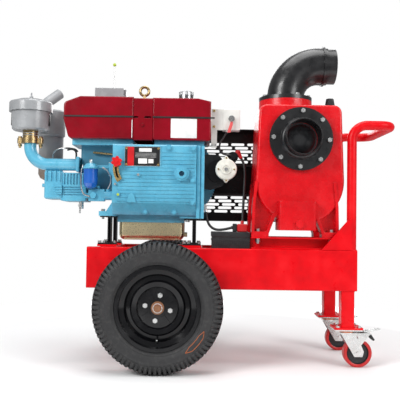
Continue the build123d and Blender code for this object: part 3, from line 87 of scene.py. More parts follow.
class Nodes:
    """Builds one material's node tree with short calls."""

    def __init__(self, name):
        self.material = bpy.data.materials.new(name)
        self.material.use_nodes = True
        self.tree = self.material.node_tree
        self.shader = self.tree.nodes["Principled BSDF"]
        self.coords = self.add("ShaderNodeTexCoord").outputs["Object"]

    def add(self, kind, **inputs):
        """A new node with these inputs; _ in a name stands for a space."""
        node = self.tree.nodes.new(kind)
        for key, value in inputs.items():
            self.put(node, key, value)
        return node

    def put(self, node, key, value):
        """Links or sets one input."""
        socket = node.inputs[key.replace("_", " ")]
        if isinstance(value, bpy.types.NodeSocket):
            self.tree.links.new(value, socket)
        else:
            socket.default_value = value

    def set(self, **inputs):
        """Links or sets inputs of the material's own shader."""
        for key, value in inputs.items():
            self.put(self.shader, key, value)

    def noise(self, scale, detail=3.0, rough=0.55, stretch=None):
        """Noise over the object's own metres, squeezed along each axis by stretch."""
        node = self.add("ShaderNodeTexNoise", Scale=scale, Detail=detail, Roughness=rough)
        source = self.coords
        if stretch:
            mapping = self.add("ShaderNodeMapping", Vector=source)
            mapping.inputs["Scale"].default_value = stretch
            source = mapping.outputs["Vector"]
        self.put(node, "Vector", source)
        return node.outputs["Fac"]

    def ramp(self, source, stops):
        """A colour ramp; stops are (position, colour or grey)."""
        node = self.add("ShaderNodeValToRGB", Fac=source)
        ramp = node.color_ramp
        while len(ramp.elements) < len(stops):
            ramp.elements.new(0.5)
        for element, (place, value) in zip(ramp.elements, stops):
            element.position = place
            element.color = (*value, 1) if isinstance(value, tuple) else (value, value, value, 1)
        return node.outputs["Color"]

    def mix(self, factor, a, b):
        """Colour a, going over to colour b where the factor is one."""
        node = self.tree.nodes.new("ShaderNodeMix")
        node.data_type = "RGBA"
        for index, value in ((MIX_FACTOR, factor), (MIX_A, a), (MIX_B, b)):
            if isinstance(value, bpy.types.NodeSocket):
                self.tree.links.new(value, node.inputs[index])
            else:
                node.inputs[index].default_value = (*value, 1)
        return node.outputs[MIX_RESULT]

    def bump(self, height, strength, distance, normal):
        """Small relief on top of another normal."""
        node = self.add("ShaderNodeBump", Height=height, Strength=strength, Distance=distance,
                        Normal=normal)
        return node.outputs["Normal"]

    def rounded(self, radius):
        """A normal that makes edges look rounded."""
        node = self.tree.nodes.new("ShaderNodeBevel")
        node.samples = 3
        node.inputs["Radius"].default_value = radius
        return node.outputs["Normal"]

    def heat(self, low, high):
        """One at the height low, in metres, and nothing at high."""
        height = self.add("ShaderNodeSeparateXYZ", Vector=self.coords).outputs["Z"]
        node = self.add("ShaderNodeMapRange", Value=height, From_Min=low, From_Max=high,
                        To_Min=1.0, To_Max=0.0)
        return node.outputs["Result"]


def paint(name, colour, rough=0.28, orange_peel=0.12, cast=0.0, dust=0.12, coat=0.3, edge=1.4,
          tint=None, heat=None, specular=0.5):
    """Sprayed enamel with orange peel and dust, over a cast surface where asked.

    tint is the shade of its lighter patches, edge the radius that its corners seem to have,
    in millimetres, and heat the two heights in metres between which its burnt brown fades.
    """
    m = Nodes(name)
    dark = tuple(c * 0.80 for c in colour)
    light = tint or tuple(min(1.0, c * 1.10 + 0.01) for c in colour)
    tone = m.ramp(m.noise(9.0, 4.0), [(0.30, dark), (0.52, colour), (0.75, light)])
    film = m.ramp(m.noise(38.0, 5.0, 0.7), [(0.55, 0.0), (0.85, dust)])
    base = m.mix(film, tone, DUST)
    if heat:
        base = m.mix(m.heat(*heat), base, BURNT)
    gloss = m.ramp(m.noise(26.0, 3.0), [(0.3, rough * 0.75), (0.7, rough * 1.35)])
    m.set(Base_Color=base, Roughness=gloss, Coat_Weight=coat, Coat_Roughness=0.12,
          Specular_IOR_Level=specular)
    normal = m.rounded(edge * MM)
    if cast:
        normal = m.bump(m.noise(150.0, 4.0, 0.65), cast, 0.9 * MM, normal)
        normal = m.bump(m.noise(28.0, 2.0), cast * 0.7, 2.2 * MM, normal)
    if orange_peel:
        normal = m.bump(m.noise(420.0, 2.0), orange_peel, 0.35 * MM, normal)
    m.set(Normal=normal)
    return m.material


def metal(name, colour, rough=0.3, brushed=(1, 1, 1), stain=(0.4, 0.33, 0.22), stain_amount=0.25,
          metallic=1.0, grain=0.12):
    """Plated or machined metal with fine streaks and dull patches."""
    m = Nodes(name)
    patches = m.ramp(m.noise(45.0, 5.0, 0.7), [(0.45, 0.0), (0.8, stain_amount)])
    tone = m.ramp(m.noise(14.0, 3.0), [(0.3, tuple(c * 0.82 for c in colour)), (0.7, colour)])
    m.set(Base_Color=m.mix(patches, tone, stain), Metallic=metallic)
    streaks = m.noise(160.0, 3.0, 0.6, brushed)
    m.set(Roughness=m.ramp(streaks, [(0.3, rough * 0.7), (0.7, rough * 1.5)]))
    m.set(Normal=m.bump(streaks, grain, 0.3 * MM, m.rounded(0.7 * MM)))
    return m.material


def rubber(name, colour, rough=0.62, grain=0.25, scale=300.0, dust=0.18, edge=1.2):
    """Moulded rubber or plastic: fine grain and a film of dust."""
    m = Nodes(name)
    dark, light = tuple(c * 0.8 for c in colour), tuple(c * 1.15 for c in colour)
    tone = m.ramp(m.noise(20.0, 4.0), [(0.3, dark), (0.7, light)])
    film = m.ramp(m.noise(60.0, 5.0, 0.7), [(0.5, 0.0), (0.9, dust)])
    m.set(Base_Color=m.mix(film, tone, RUBBER_DUST))
    m.set(Roughness=m.ramp(m.noise(40.0), [(0.3, rough * 0.85), (0.7, min(1.0, rough * 1.2))]))
    m.set(Normal=m.bump(m.noise(scale, 3.0), grain, 0.3 * MM, m.rounded(edge * MM)))
    return m.material


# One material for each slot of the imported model, and a few for single faces and small trim.
MAT = {
    "chassis_red": paint("chassis_red", (0.74, 0.001, 0.006), rough=0.34, orange_peel=0.25, dust=0.0,
                         coat=0.0, specular=0.2),
    "pump_red": paint("pump_red", (0.66, 0.001, 0.006), rough=0.26, orange_peel=0.35, cast=1.0, dust=0.0,
                      coat=0.12, edge=3.0, specular=0.35),
    "engine_blue": paint("engine_blue", (0.098, 0.42, 0.60), rough=0.27, orange_peel=0.2, cast=0.5,
                         dust=0.06, coat=0.45, tint=(0.15, 0.50, 0.67), edge=2.0),
    "maroon": paint("maroon", (0.235, 0.0008, 0.008), rough=0.20, orange_peel=0.12, dust=0.0, coat=0.05,
                    edge=3.0, tint=(0.28, 0.001, 0.012), specular=0.25),
    "grey_paint": paint("grey_paint", (0.33, 0.34, 0.35), rough=0.24, orange_peel=0.2, dust=0.04,
                        coat=0.4),
    "muffler_grey": paint("muffler_grey", (0.30, 0.31, 0.32), rough=0.42, orange_peel=0.1, dust=0.25,
                          coat=0.0, heat=(0.87, 1.02)),
    "black_paint": paint("black_paint", (0.008, 0.008, 0.009), rough=0.32, orange_peel=0.2, dust=0.0,
                         coat=0.05, specular=0.3),
    "elbow_black": paint("elbow_black", (0.006, 0.006, 0.007), rough=0.32, orange_peel=0.12, cast=0.2,
                         dust=0.01, coat=0.2),
    "rim_black": paint("rim_black", (0.004, 0.004, 0.005), rough=0.13, orange_peel=0.08, dust=0.0,
                       coat=0.1, specular=0.3),
    "flap_grey": paint("flap_grey", (0.050, 0.052, 0.056), rough=0.28, orange_peel=0.2, cast=0.2,
                       dust=0.05, coat=0.4),
    "tyre": rubber("tyre", (0.020, 0.020, 0.021), rough=0.60, grain=0.4, scale=420.0, dust=0.14),
    "zinc": metal("zinc", (0.80, 0.81, 0.80), rough=0.27, stain_amount=0.15),
    "chrome": metal("chrome", (0.30, 0.305, 0.31), rough=0.26, stain_amount=0.05),
    "zinc_yellow": metal("zinc_yellow", (0.46, 0.34, 0.165), rough=0.28, stain=(0.45, 0.25, 0.2)),
    "pan_gold": metal("pan_gold", (0.86, 0.74, 0.46), rough=0.30, stain=(0.52, 0.46, 0.30),
                      stain_amount=0.2, grain=0.02),
    "filter_blue": paint("filter_blue", (0.004, 0.10, 0.46), rough=0.2, orange_peel=0.1, dust=0.02,
                         coat=0.7),
    "knob_red": rubber("knob_red", (0.66, 0.004, 0.006), rough=0.3, grain=0.05, dust=0.02),
    "tag_pink": rubber("tag_pink", (0.72, 0.10, 0.10), rough=0.4, grain=0.05, dust=0.03),
    "rubber_black": rubber("rubber_black", (0.010, 0.010, 0.011), rough=0.45, grain=0.2, dust=0.05,
                           edge=0.6),
    "rubber_red": rubber("rubber_red", (0.56, 0.004, 0.006), rough=0.45, grain=0.1, dust=0.03),
    "battery_case": rubber("battery_case", (0.016, 0.017, 0.019), rough=0.42, grain=0.3, scale=600.0,
                           dust=0.08),
    "control_grey": paint("control_grey", (0.74, 0.74, 0.70), rough=0.38, orange_peel=0.15, dust=0.05,
                          coat=0.1),
    "plate_metal": metal("plate_metal", (0.70, 0.70, 0.70), rough=0.3, brushed=(1, 1, 14)),
    "machined_steel": metal("machined_steel", (0.58, 0.58, 0.58), rough=0.26, brushed=(12, 1, 1)),
    "float_plastic": rubber("float_plastic", (0.46, 0.58, 0.04), rough=0.35, grain=0.05, dust=0.03),
    "caster_tread": rubber("caster_tread", (0.52, 0.014, 0.014), rough=0.36, grain=0.1, dust=0.08),
    "plug_black": paint("plug_black", (0.012, 0.012, 0.014), rough=0.40, orange_peel=0.1, cast=0.4,
                        dust=0.06, coat=0.1),
    "brass": metal("brass", (0.82, 0.58, 0.24), rough=0.24, stain_amount=0.1),
    "cream": rubber("cream", (0.74, 0.73, 0.66), rough=0.34, grain=0.1, dust=0.08),
    "white_label": rubber("white_label", (0.84, 0.84, 0.82), rough=0.4, grain=0.05, dust=0.04,
                          edge=0.2),
    "print_black": rubber("print_black", (0.008, 0.008, 0.009), rough=0.35, grain=0.05, dust=0.02,
                          edge=0.2),
    "print_red": rubber("print_red", (0.58, 0.006, 0.010), rough=0.35, grain=0.05, dust=0.02,
                          edge=0.2),
    # Painted shade: a darker blue for the wall in the recess between the crankcase and the cylinder head.
    "recess_shade_blue": paint("recess_shade_blue", (0.045, 0.22, 0.33), rough=0.36, orange_peel=0.2, cast=0.4,
                         dust=0.10, coat=0.2),
    "orange": paint("orange", (0.74, 0.17, 0.02), rough=0.3, orange_peel=0.05, dust=0.03),
    "rust": metal("rust", (0.34, 0.16, 0.08), rough=0.6, stain=(0.14, 0.06, 0.04), stain_amount=0.8,
                  metallic=0.4),
}


def dress(node, names, choose=None):
    """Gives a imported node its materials; choose(centre, normal) picks one for each face."""
    mesh = NODES[node].data
    mesh.materials.clear()
    for name in names:
        mesh.materials.append(MAT[name])
    for polygon in mesh.polygons:
        polygon.material_index = choose(polygon.center, polygon.normal) if choose else 0


# ---------------------------------------------------------------- leads
# Control points along each lead, its diameter and its stiffness.
LEADS = {
    "negative_lead": ([(36.5, -118, 704), (41.9, -121, 656), (72, -132, 622), (118, -142, 620),
                       (158, -149, 632)], 12.0, "stiff"),
    "positive_lead": ([(206, -60, 968), (219, -62, 946), (223, -72, 906), (221, -90, 858),
                       (218, -110, 808), (214, -132, 758), (211, -144, 710), (208, -150, 664)],
                      12.0, "stiff"),
    "wiring_loom": ([(132, -86, 1092), (117, -91, 1064), (99, -94, 1038), (96, -94, 1008),
                     (110, -90, 986), (138, -82, 982)], 9.0, "limp"),
}


def spline_curve(name, points, diameter):
    """A round-section NURBS curve with these control points, in millimetres."""
    curve = bpy.data.curves.new(name, "CURVE")
    curve.dimensions = "3D"
    curve.bevel_depth = diameter / 2 * MM
    curve.bevel_resolution = 5
    curve.resolution_u = 10
    curve.use_fill_caps = True
    spline = curve.splines.new("NURBS")
    spline.points.add(len(points) - 1)
    for point, (x, y, z) in zip(spline.points, points):
        point.co = (x * MM, y * MM, z * MM, 1.0)
    spline.order_u = 3
    spline.use_endpoint_u = True
    obj = bpy.data.objects.new(name, curve)
    scene.collection.objects.link(obj)
    return obj


def centre_length(curve_object):
    """Length of a curve's own line, in metres."""
    depth = curve_object.data.bevel_depth
    curve_object.data.bevel_depth = 0.0
    bpy.context.view_layer.update()
    graph = bpy.context.evaluated_depsgraph_get()
    mesh = bpy.data.meshes.new_from_object(curve_object.evaluated_get(graph))
    points = [v.co.copy() for v in mesh.vertices]
    curve_object.data.bevel_depth = depth
    bpy.data.meshes.remove(mesh)
    return sum((b - a).length for a, b in zip(points, points[1:]))


def make_leads():
    """The battery leads and the loom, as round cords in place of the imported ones."""
    for node, (points, diameter, stiffness) in LEADS.items():
        piece = spline_curve(node + "_cable", points, diameter)
        piece.data.materials.append(MAT["rubber_black"])
        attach(piece, "root")
        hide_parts(node)
        centre_length(piece)


make_leads()


# ---------------------------------------------------------------- mesh helpers
def mesh_object(name, bm, material, body="root", smooth=True):
    """Turns a bmesh, in metres, into a piece that rides on a body."""
    mesh = bpy.data.meshes.new(name)
    bm.normal_update()
    bm.to_mesh(mesh)
    bm.free()
    mesh.materials.append(MAT[material])
    obj = bpy.data.objects.new(name, mesh)
    scene.collection.objects.link(obj)
    if smooth:
        mesh.shade_smooth()
        mesh.set_sharp_from_angle(angle=math.radians(35))
    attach(obj, body)
    return obj


def add_block(bm, lo, hi, bevel=0.0):
    """A box between two corners in millimetres, with bevelled edges."""
    lo, hi = Vector(lo) * MM, Vector(hi) * MM
    size, middle = hi - lo, (hi + lo) / 2
    place = Matrix.Translation(middle) @ Matrix.Diagonal((*size, 1))
    made = bmesh.ops.create_cube(bm, size=1.0, matrix=place)
    if bevel:
        edges = list({e for v in made["verts"] for e in v.link_edges})
        bmesh.ops.bevel(bm, geom=edges, offset=bevel * MM, segments=2, profile=0.5, affect="EDGES")


def add_round(bm, a, b, radius, segments=24):
    """A round bar between two points in millimetres."""
    a, b = Vector(a) * MM, Vector(b) * MM
    turn = (b - a).to_track_quat("Z", "Y").to_matrix().to_4x4()
    bmesh.ops.create_cone(bm, cap_ends=True, segments=segments, radius1=radius * MM,
                          radius2=radius * MM, depth=(b - a).length,
                          matrix=Matrix.Translation((a + b) / 2) @ turn)


def add_ring(bm, centre, major, minor, axis, around=64, across=10):
    """A torus about Y or Z, in millimetres."""
    turn = turned(90, "X") if axis == "Y" else Matrix.Identity(4)
    place = Matrix.Translation(Vector(centre) * MM) @ turn
    loops = []
    for i in range(around):
        a = 2 * math.pi * i / around
        loop = []
        for j in range(across):
            b = 2 * math.pi * j / across
            r = (major + minor * math.cos(b)) * MM
            point = Vector((r * math.cos(a), r * math.sin(a), minor * MM * math.sin(b)))
            loop.append(bm.verts.new(place @ point))
        loops.append(loop)
    for i in range(around):
        for j in range(across):
            on, up = (i + 1) % around, (j + 1) % across
            bm.faces.new((loops[i][j], loops[on][j], loops[on][up], loops[i][up]))


# ---------------------------------------------------------------- tyres
SIDES = (("near", -1), ("far", 1))
SHOULDER_LUGS, CENTRE_LUGS = 80, 60
AROUND = 240                                # steps of the carcass round the wheel
WHEEL_X, WHEEL_Z, WHEEL_Y = -170.0, 284.5, 375.0
# Half of the carcass from its bead to the middle of its tread, as (distance from the middle
# plane, radius), and the lining inside it up to the same plane.
OUTER = [(49.4, 173.0), (49.6, 184.5), (52.5, 186.0), (54.5, 188.0), (54.0, 190.5), (57.5, 193.0),
         (62.5, 202.0), (66.5, 213.0), (68.8, 224.0), (69.3, 233.0), (70.0, 234.5), (70.0, 237.5),
         (69.3, 239.0), (68.0, 244.0), (65.0, 252.0), (61.0, 258.5), (54.0, 264.5), (43.0, 269.5),
         (28.0, 272.5), (12.0, 273.5), (0.0, 273.8)]
LINING = [(-41.0, 173.0), (-46.0, 200.0), (-54.0, 225.0), (-52.0, 252.0), (-30.0, 266.0), (0.0, 269.0)]
SHOULDER_PATH = [(27.0, 282.6), (44.0, 280.6), (56.0, 275.5), (64.0, 267.0), (68.6, 256.0), (70.4, 247.0)]
CENTRE_PATH = [(2.0, 283.8), (12.0, 283.8), (22.0, 283.2)]
SIDE_RIBS = ((199.0, 1.1), (240.5, 0.9))    # radius and thickness
LOZENGE = [(-56, 219), (-49, 229), (-31, 229), (-24, 219), (-31, 209), (-49, 209), (-56, 219)]


def add_carcass(bm):
    """The lathed carcass, open at the rim where the beads sit."""
    profile = OUTER + [(-y, r) for y, r in reversed(OUTER[:-1])]
    profile += LINING + [(-y, r) for y, r in reversed(LINING[:-1])]
    loops = []
    for i in range(AROUND):
        a = 2 * math.pi * i / AROUND
        loops.append([bm.verts.new((r * math.cos(a) * MM, y * MM, r * math.sin(a) * MM))
                      for y, r in profile])
    for i in range(AROUND):
        on = (i + 1) % AROUND
        for j in range(len(profile)):
            up = (j + 1) % len(profile)
            bm.faces.new((loops[i][j], loops[i][up], loops[on][up], loops[on][j]))


def add_lug(bm, angle, width_deg, sweep_deg, path, depth):
    """One tread lug along (y, r) points across the tread, its flared flanks sunk in the carcass."""
    rows = []
    for index, (y, r) in enumerate(path):
        mid = angle + math.radians(sweep_deg) * index / (len(path) - 1)
        half = math.radians(width_deg) / 2
        row = []
        for turn, sunk in ((-1.3, True), (-1.0, False), (1.0, False), (1.3, True)):
            a, radius, inward = mid + half * turn, r - depth * sunk, 0.93 if sunk else 1.0
            row.append(bm.verts.new((radius * math.cos(a) * MM, y * inward * MM,
                                     radius * math.sin(a) * MM)))
        rows.append(row)
    for first, second in zip(rows, rows[1:]):
        for j in range(4):
            up = (j + 1) % 4
            bm.faces.new((first[j], first[up], second[up], second[j]))
    bm.faces.new(rows[0])
    bm.faces.new(list(reversed(rows[-1])))


def sidewall(r):
    """How far the tyre's side stands from its middle plane at a radius."""
    for (y0, r0), (y1, r1) in zip(OUTER, OUTER[1:]):
        if r0 <= r <= r1:
            return y0 + (y1 - y0) * (r - r0) / (r1 - r0)
    return OUTER[-1][0]


def place_on_wheel(bm, side):
    """Moves what was built round the origin to a road wheel's centre."""
    place = Matrix.Translation((WHEEL_X * MM, side * WHEEL_Y * MM, WHEEL_Z * MM))
    bmesh.ops.transform(bm, matrix=place, verts=bm.verts)
    bmesh.ops.recalc_face_normals(bm, faces=bm.faces)


def make_tyre(label, side):
    """The treaded tyre that takes the plain one's place."""
    bm = bmesh.new()
    add_carcass(bm)
    for flip in (-1, 1):
        for k in range(SHOULDER_LUGS):
            base = 2 * math.pi * (k + 0.25 * flip) / SHOULDER_LUGS
            add_lug(bm, base, 2.5, 0.0, [(flip * y, r) for y, r in SHOULDER_PATH], 10.0)
        for k in range(CENTRE_LUGS):
            base = 2 * math.pi * (k + 0.25 * flip) / CENTRE_LUGS
            add_lug(bm, base, 3.8, 3.0, [(flip * y, r) for y, r in CENTRE_PATH], 8.0)
        for radius, thickness in SIDE_RIBS:
            add_ring(bm, (0, flip * sidewall(radius), 0), radius, thickness, "Y", 160, 6)
    place_on_wheel(bm, side)
    piece = mesh_object(f"treaded_tyre_{label}", bm, "tyre", f"wheel_{label}")
    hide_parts(f"tyre_{label}")


def wheel_piece(name, label, side, material, bars, segments):
    """A piece of round bars (a, b, radius), measured from a road wheel's centre."""
    bm = bmesh.new()
    for a, b, radius in bars:
        add_round(bm, a, b, radius, segments)
    place_on_wheel(bm, side)
    mesh_object(f"{name}_{label}", bm, material, f"wheel_{label}")


def make_wheel_trim(label, side):
    """The valve, and a plain painted lozenge on the tyre's outer side."""
    stem_end = (0, side * 42, -137)
    wheel_piece("valve_stem", label, side, "rubber_black",
                [((0, side * 24, -146), stem_end, 4.2)], 16)
    wheel_piece("valve_cap", label, side, "zinc", [(stem_end, (0, side * 50, -133), 3.6)], 12)
    bars = []
    for (a0, r0), (a1, r1) in zip(LOZENGE, LOZENGE[1:]):
        points = []
        for step in range(7):
            a, r = math.radians(a0 + (a1 - a0) * step / 6), r0 + (r1 - r0) * step / 6
            points.append((r * math.cos(a), side * (sidewall(r) + 0.1), r * math.sin(a)))
        bars += [(first, second, 0.9) for first, second in zip(points, points[1:])]
    wheel_piece("tyre_lozenge", label, side, "orange", bars, 6)


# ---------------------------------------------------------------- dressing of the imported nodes
NUTS, NUT_CIRCLE, FIRST_NUT_DEG = 4, 55.0, 79.4
CASTER_X, CASTER_Z, TREAD_INNER_R = 741.0, 65.0, 49.8
POST_X, POST_Y = 692.0, 193.0               # the caster posts' axes
KEY_X, KEY_Z = 154.0, 1156.0                # the ignition lock's axis
BOX_SCREW_X, BOX_SCREWS_Z = 70.0, (1117.0, 1194.0)


def within(c, x=None, y=None, z=None):
    """Whether a point in metres lies inside the spans in millimetres given for its axes."""
    return all(span is None or span[0] * MM < value < span[1] * MM
               for value, span in zip(c, (x, y, z)))


def near_axis(c, x, z, radius):
    """Whether a point in metres lies within a radius of an axis along Y, all in millimetres."""
    return math.hypot(c.x - x * MM, c.z - z * MM) < radius * MM


def rim_finish(c, normal):
    """Zinc wheel nuts, a rusty hub end with a bright ring, and gloss black elsewhere."""
    out = abs(c.y) / MM
    for k in range(NUTS):
        a = math.radians(FIRST_NUT_DEG - 90 * k)
        x, z = WHEEL_X + NUT_CIRCLE * math.cos(a), WHEEL_Z + NUT_CIRCLE * math.sin(a)
        if near_axis(c, x, z, 11.5) and out > 388.5:
            return 1
    if near_axis(c, WHEEL_X, WHEEL_Z, 21.5) and out > 400.5:
        return 1
    return 2 if near_axis(c, WHEEL_X, WHEEL_Z, 28.5) and out > 392 else 0


def gear_cover_finish(c, normal):
    """A brass cap and a black gasket line at the cover's left end."""
    if within(c, x=(-1000, -355), y=(-204.5, -199.5), z=(820, 2000)):
        return 1
    return 2 if within(c, x=(-1000, -360), y=(-170.5, -169.5)) else 0


def starter_finish(c, normal):
    """A cream end cap and dark end faces."""
    if within(c, x=(-1000, 190), y=(-1000, -111.5), z=(0, 975)):
        return 1
    return 2 if within(c, y=(-20.5, -3.5)) and (abs(normal.y) > 0.9 or c.x < 50 * MM) else 0


def control_box_finish(c, normal):
    """A bright lock and two brass screws."""
    if near_axis(c, KEY_X, KEY_Z, 15.2) and c.y < -100 * MM:
        return 1
    screw = any(near_axis(c, BOX_SCREW_X, z, 7.0) for z in BOX_SCREWS_Z)
    return 2 if screw and c.y < -97.1 * MM else 0


def fuel_pipe_finish(c, normal):
    """A plated union and a rubber sleeve on the steel pipes."""
    if within(c, x=(-520, -400), y=(-90, -60), z=(960, 2000)):
        return 2
    return 1 if within(c, x=(-660, -594), y=(-50, 50), z=(955, 1016)) else 0


def caster_fork_finish(c, normal):
    """An orange seal round the swivel's head."""
    stem = math.hypot(c.x - POST_X * MM, abs(c.y) - POST_Y * MM) < 10 * MM
    return 1 if within(c, z=(160.2, 169.5)) and not stem else 0


def recess_shade_finish(c, normal):
    """Painted shade: a darker blue on the wall in the recess between the crankcase and the cylinder head.
    """
    return 1 if within(c, x=(-577, -404), y=(-58.5, 80.5), z=(740, 1017.5)) else 0


def injection_finish(c, normal):
    """Plated unions at the top of the group and at its left foot."""
    return 1 if c.z > 930.5 * MM or (c.x < -550 * MM and c.z < 750 * MM) else 0


def dress_mixed_nodes():
    """Nodes whose pieces have different finishes: each face is told by its place."""
    dress("gear_cover", ["engine_blue", "brass", "print_black"], gear_cover_finish)
    dress("wheel_axle", ["chassis_red", "rust"], lambda c, n: 1 if abs(c.y) > 409.5 * MM else 0)
    dress("intake_pipe", ["engine_blue", "zinc_yellow"], lambda c, n: 1 if c.z > 1024.5 * MM else 0)
    dress("suction_flap", ["flap_grey"])
    dress("fuel_cap", ["chrome"])
    dress("ignition_key", ["machined_steel", "tag_pink"], lambda c, n: 1 if c.z < 1137.5 * MM else 0)
    dress("starter_motor", ["black_paint", "cream", "plug_black"], starter_finish)
    dress("battery", ["battery_case", "rubber_black"], lambda c, n: 1 if c.z > 612.5 * MM else 0)
    dress("control_box", ["control_grey", "machined_steel", "brass"], control_box_finish)
    # The crankcase's recess wall gets a darker blue as painted shade.
    dress("crankcase", ["engine_blue", "recess_shade_blue"], recess_shade_finish)
    dress("fuel_pipes", ["machined_steel", "rubber_black", "zinc_yellow"], fuel_pipe_finish)
    dress("float_gauge", ["float_plastic", "machined_steel"], lambda c, n: 1 if c.z < 1419.5 * MM else 0)
    dress("nameplate", ["print_black", "brass"], lambda c, n: 1 if c.y < -195.3 * MM else 0)
    dress("terminal_boots", ["rubber_red"])
    dress("injection_group", ["engine_blue", "zinc"], injection_finish)
    for label, _ in SIDES:
        dress(f"wheel_rim_{label}", ["rim_black", "zinc", "rust"], rim_finish)
        dress(f"caster_wheel_{label}", ["caster_tread", "plug_black"],
              lambda c, n: 1 if near_axis(c, CASTER_X, CASTER_Z, TREAD_INNER_R) else 0)
        dress(f"caster_fork_{label}", ["zinc", "orange"], caster_fork_finish)
        dress(f"caster_pedal_{label}", ["zinc", "rubber_black"],
              lambda c, n: 1 if c.z < 150.5 * MM and c.x > 792.5 * MM else 0)


for subpart in frame["record"]["subparts"]:
    dress(subpart["node"], [subpart["material_slot"]])
dress_mixed_nodes()
for label, side in SIDES:
    make_tyre(label, side)
    make_wheel_trim(label, side)


# ---------------------------------------------------------------- small trim
COVER_FACE, TANK_FACE = -190.0, -150.0      # front planes of the gear cover and of both tanks
PLATE_FACE = COVER_FACE - 5.2               # front of the nameplate
STARTER_X, STARTER_Z = 130.0, 909.0
BOWL_X, BOWL_Y, BOWL_R = -821.0, -60.0, 93.4
ELBOW_X, ELBOW_Y = 420.0, -40.0
SPIGOT_X, SPIGOT_Z = 471.5, 1048.5
POST_HALF, BEAD_HALF = 30.5, 30.0           # half a post's width with its bead, and half a bead


def panel(name, lo, hi, material):
    """A thin plate between two corners, on the still body."""
    bm = bmesh.new()
    add_block(bm, lo, hi, 0.3)
    mesh_object(name, bm, material, smooth=False)


def plate_fields(name, material, fields):
    """Flat fields (x0, z0, x1, z1, thickness) on the nameplate."""
    bm = bmesh.new()
    for x0, z0, x1, z1, thickness in fields:
        add_block(bm, (x0, PLATE_FACE - thickness, z0), (x1, PLATE_FACE - 0.02, z1))
    mesh_object(name, bm, material, smooth=False)


def make_labels():
    """Blank plates: the tank's white panel, its stripe, and the fields of the nameplate."""
    panel("tank_label", (-136, TANK_FACE - 0.8, 1052), (-13, TANK_FACE - 0.02, 1144), "white_label")
    panel("hopper_stripe", (-321.5, TANK_FACE - 0.8, 1050), (-318.5, TANK_FACE - 0.02, 1135),
          "white_label")
    panel("nameplate_red_field", (-333, PLATE_FACE - 0.3, 913), (-303, PLATE_FACE - 0.02, 1002),
          "print_red")
    blocks = [(-280, 979, -221, 996, 0.5), (-283, 924, -242, 948, 0.5), (-236, 926, -212, 946, 0.5)]
    bars = [(-297, 954 + row * 6, -200, 955 + row * 6, 0.4) for row in range(4)]
    plate_fields("nameplate_fields", "white_label", blocks + bars)
    plate_fields("nameplate_border", "plate_metal",
                 [(-346, 1001.4, -182, 1003, 0.5), (-346, 912, -182, 913.6, 0.5),
                  (-346, 912, -344.4, 1003, 0.5), (-183.6, 912, -182, 1003, 0.5)])


def trim(name, material, blocks=(), rounds=(), rings=()):
    """A small piece of blocks (lo, hi), bars (a, b, radius) and rings (centre, major, minor, axis)."""
    bm = bmesh.new()
    for lo, hi in blocks:
        add_block(bm, lo, hi, 0.8)
    for a, b, radius in rounds:
        add_round(bm, a, b, radius)
    for centre, major, minor, axis in rings:
        add_ring(bm, centre, major, minor, axis)
    mesh_object(name, bm, material)


def along_y(x, z, y0, y1, radius):
    """A round bar along Y."""
    return (x, y0, z), (x, y1, z), radius


def make_small_parts():
    """Screws, clips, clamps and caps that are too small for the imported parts."""
    trim("starter_screws", "brass",
         rounds=[along_y(STARTER_X, STARTER_Z + z, -133.2, -131.1, 4.2) for z in (-54, 54)]
         + [along_y(STARTER_X + x, STARTER_Z, -135.2, -133.1, 4.2) for x in (-37, 37)])
    trim("starter_hub", "zinc", rounds=[along_y(STARTER_X, STARTER_Z, -135, -132.1, 9)])
    trim("cover_dot", "float_plastic", rounds=[along_y(-374, 778, -201.2, -200.1, 6.0)])
    trim("cover_plugs", "zinc", rounds=[along_y(-388, 827, -199.6, -198.1, 5.5),
                                                along_y(-282, 872, -200.6, -199.1, 6.0)])
    trim("bowl_clips", "black_paint",
         blocks=[((-736, BOWL_Y - 11, 1112), (BOWL_X + BOWL_R, BOWL_Y + 11, 1168)),
                 ((BOWL_X - BOWL_R, BOWL_Y - 11, 1112), (-906, BOWL_Y + 11, 1168))])
    trim("neck_clamp", "zinc",
         rings=[((BOWL_X, BOWL_Y, z), 36.8, 1.8, "Z") for z in (1074, 1064)])
    trim("cap_ring", "grey_paint", rings=[((BOWL_X, BOWL_Y, 1219), 101.5, 1.6, "Z")])
    make_weld_beads()
    trim("guard_screws", "zinc",
         rounds=[along_y(x, 1028, -101.5, -97.1, 4.6) for x in (64, 78)]
         + [along_y(x, z, 303.1, 306.5, 6.5) for x in (-320, 533) for z in (905, 940)])
    trim("stem_collars", "float_plastic", rings=[((-424, -20, 1306.4), 4.2, 1.4, "Z")])
    trim("elbow_weld", "elbow_black", rings=[((ELBOW_X, ELBOW_Y, 1269.4), 91.4, 2.2, "Z")])
    trim("spigot_bead", "elbow_black",
         rings=[((SPIGOT_X, -299.5, SPIGOT_Z), 83.6, 1.3, "Y")])


def make_weld_beads():
    """Beads round the caster posts at the rails and at their plates, and round the handle's feet."""
    beads = []
    sides = [side * POST_Y + edge for side in (-1, 1) for edge in (-POST_HALF, POST_HALF)]
    for y in sides:
        beads.append(((POST_X - BEAD_HALF, y, 348.0), (POST_X + BEAD_HALF, y, 348.0), 2.6))
    for x in (POST_X - POST_HALF, POST_X + POST_HALF):
        for y in (-POST_Y, POST_Y):
            beads.append(((x, y - BEAD_HALF, 185.5), (x, y + BEAD_HALF, 185.5), 2.4))
    for y in sides:
        beads.append(((POST_X - BEAD_HALF, y, 185.5), (POST_X + BEAD_HALF, y, 185.5), 2.4))
    for y in (-220.5, 220.5):
        beads.append(((571, y, 537.2), (688, y, 537.2), 2.2))
    trim("weld_beads", "chassis_red", rounds=beads,
         rings=[((710, y, 537.0), 22.6, 2.6, "Z") for y in (-205, 205)])


make_labels()
make_small_parts()


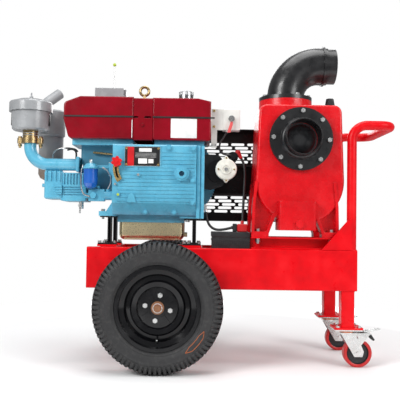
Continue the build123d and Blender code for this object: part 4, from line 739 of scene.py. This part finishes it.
# ---------------------------------------------------------------- floor and light
# Metres: the floor's radius, where its glow starts, and the point the lamps face.
FLOOR_R, GLOW_R = 2.2, 1.45
LIT_POINT = (0, 0, 0.7)
LAMPS = (("key", (-2.7, -3.0, 2.7), 1.7, 125), ("fill", (3.1, -2.8, 2.3), 1.8, 80),
         ("top", (0.1, -0.2, 4.0), 2.6, 85), ("back", (0.5, 3.6, 2.8), 2.4, 55))   # place, size, watts


def make_stage():
    """A pale round floor that brightens towards its edge, the world and four soft lamps."""
    bm = bmesh.new()
    bmesh.ops.create_circle(bm, cap_ends=True, segments=96, radius=FLOOR_R)
    mesh = bpy.data.meshes.new("floor")
    bm.to_mesh(mesh)
    bm.free()
    floor = bpy.data.objects.new("floor", mesh)
    scene.collection.objects.link(floor)
    m = Nodes("floor")
    radius = m.add("ShaderNodeVectorMath", Vector=m.coords)
    radius.operation = "LENGTH"
    glow = m.add("ShaderNodeMapRange", Value=radius.outputs["Value"], From_Min=GLOW_R,
                 From_Max=FLOOR_R, To_Min=0.0, To_Max=0.8).outputs["Result"]
    m.set(Base_Color=(0.90, 0.90, 0.90, 1), Roughness=0.9, Specular_IOR_Level=0.0,
          Emission_Color=(1, 1, 1, 1), Emission_Strength=glow)
    mesh.materials.append(m.material)
    make_world()
    for name, place, size, power in LAMPS:
        data = bpy.data.lights.new(name, "AREA")
        data.size = size
        data.energy = power
        lamp = bpy.data.objects.new(name, data)
        lamp.location = place
        aim = Vector(LIT_POINT) - Vector(place)
        lamp.rotation_euler = aim.to_track_quat("-Z", "Y").to_euler()
        scene.collection.objects.link(lamp)
    scene.view_settings.view_transform = "Standard"


def make_world():
    """A white studio to look at that lights and mirrors less than it shows."""
    world = bpy.data.worlds.new("world")
    scene.world = world
    world.use_nodes = True
    tree = world.node_tree
    seen = tree.nodes["Background"]
    seen.inputs["Color"].default_value = (1, 1, 1, 1)
    seen.inputs["Strength"].default_value = 1.0
    given = tree.nodes.new("ShaderNodeBackground")
    given.inputs["Color"].default_value = (0.97, 0.98, 1, 1)
    given.inputs["Strength"].default_value = 0.34
    path = tree.nodes.new("ShaderNodeLightPath")
    mix = tree.nodes.new("ShaderNodeMixShader")
    tree.links.new(path.outputs["Is Camera Ray"], mix.inputs[0])
    tree.links.new(given.outputs["Background"], mix.inputs[1])
    tree.links.new(seen.outputs["Background"], mix.inputs[2])
    tree.links.new(mix.outputs["Shader"], tree.nodes["World Output"].inputs["Surface"])


make_stage()
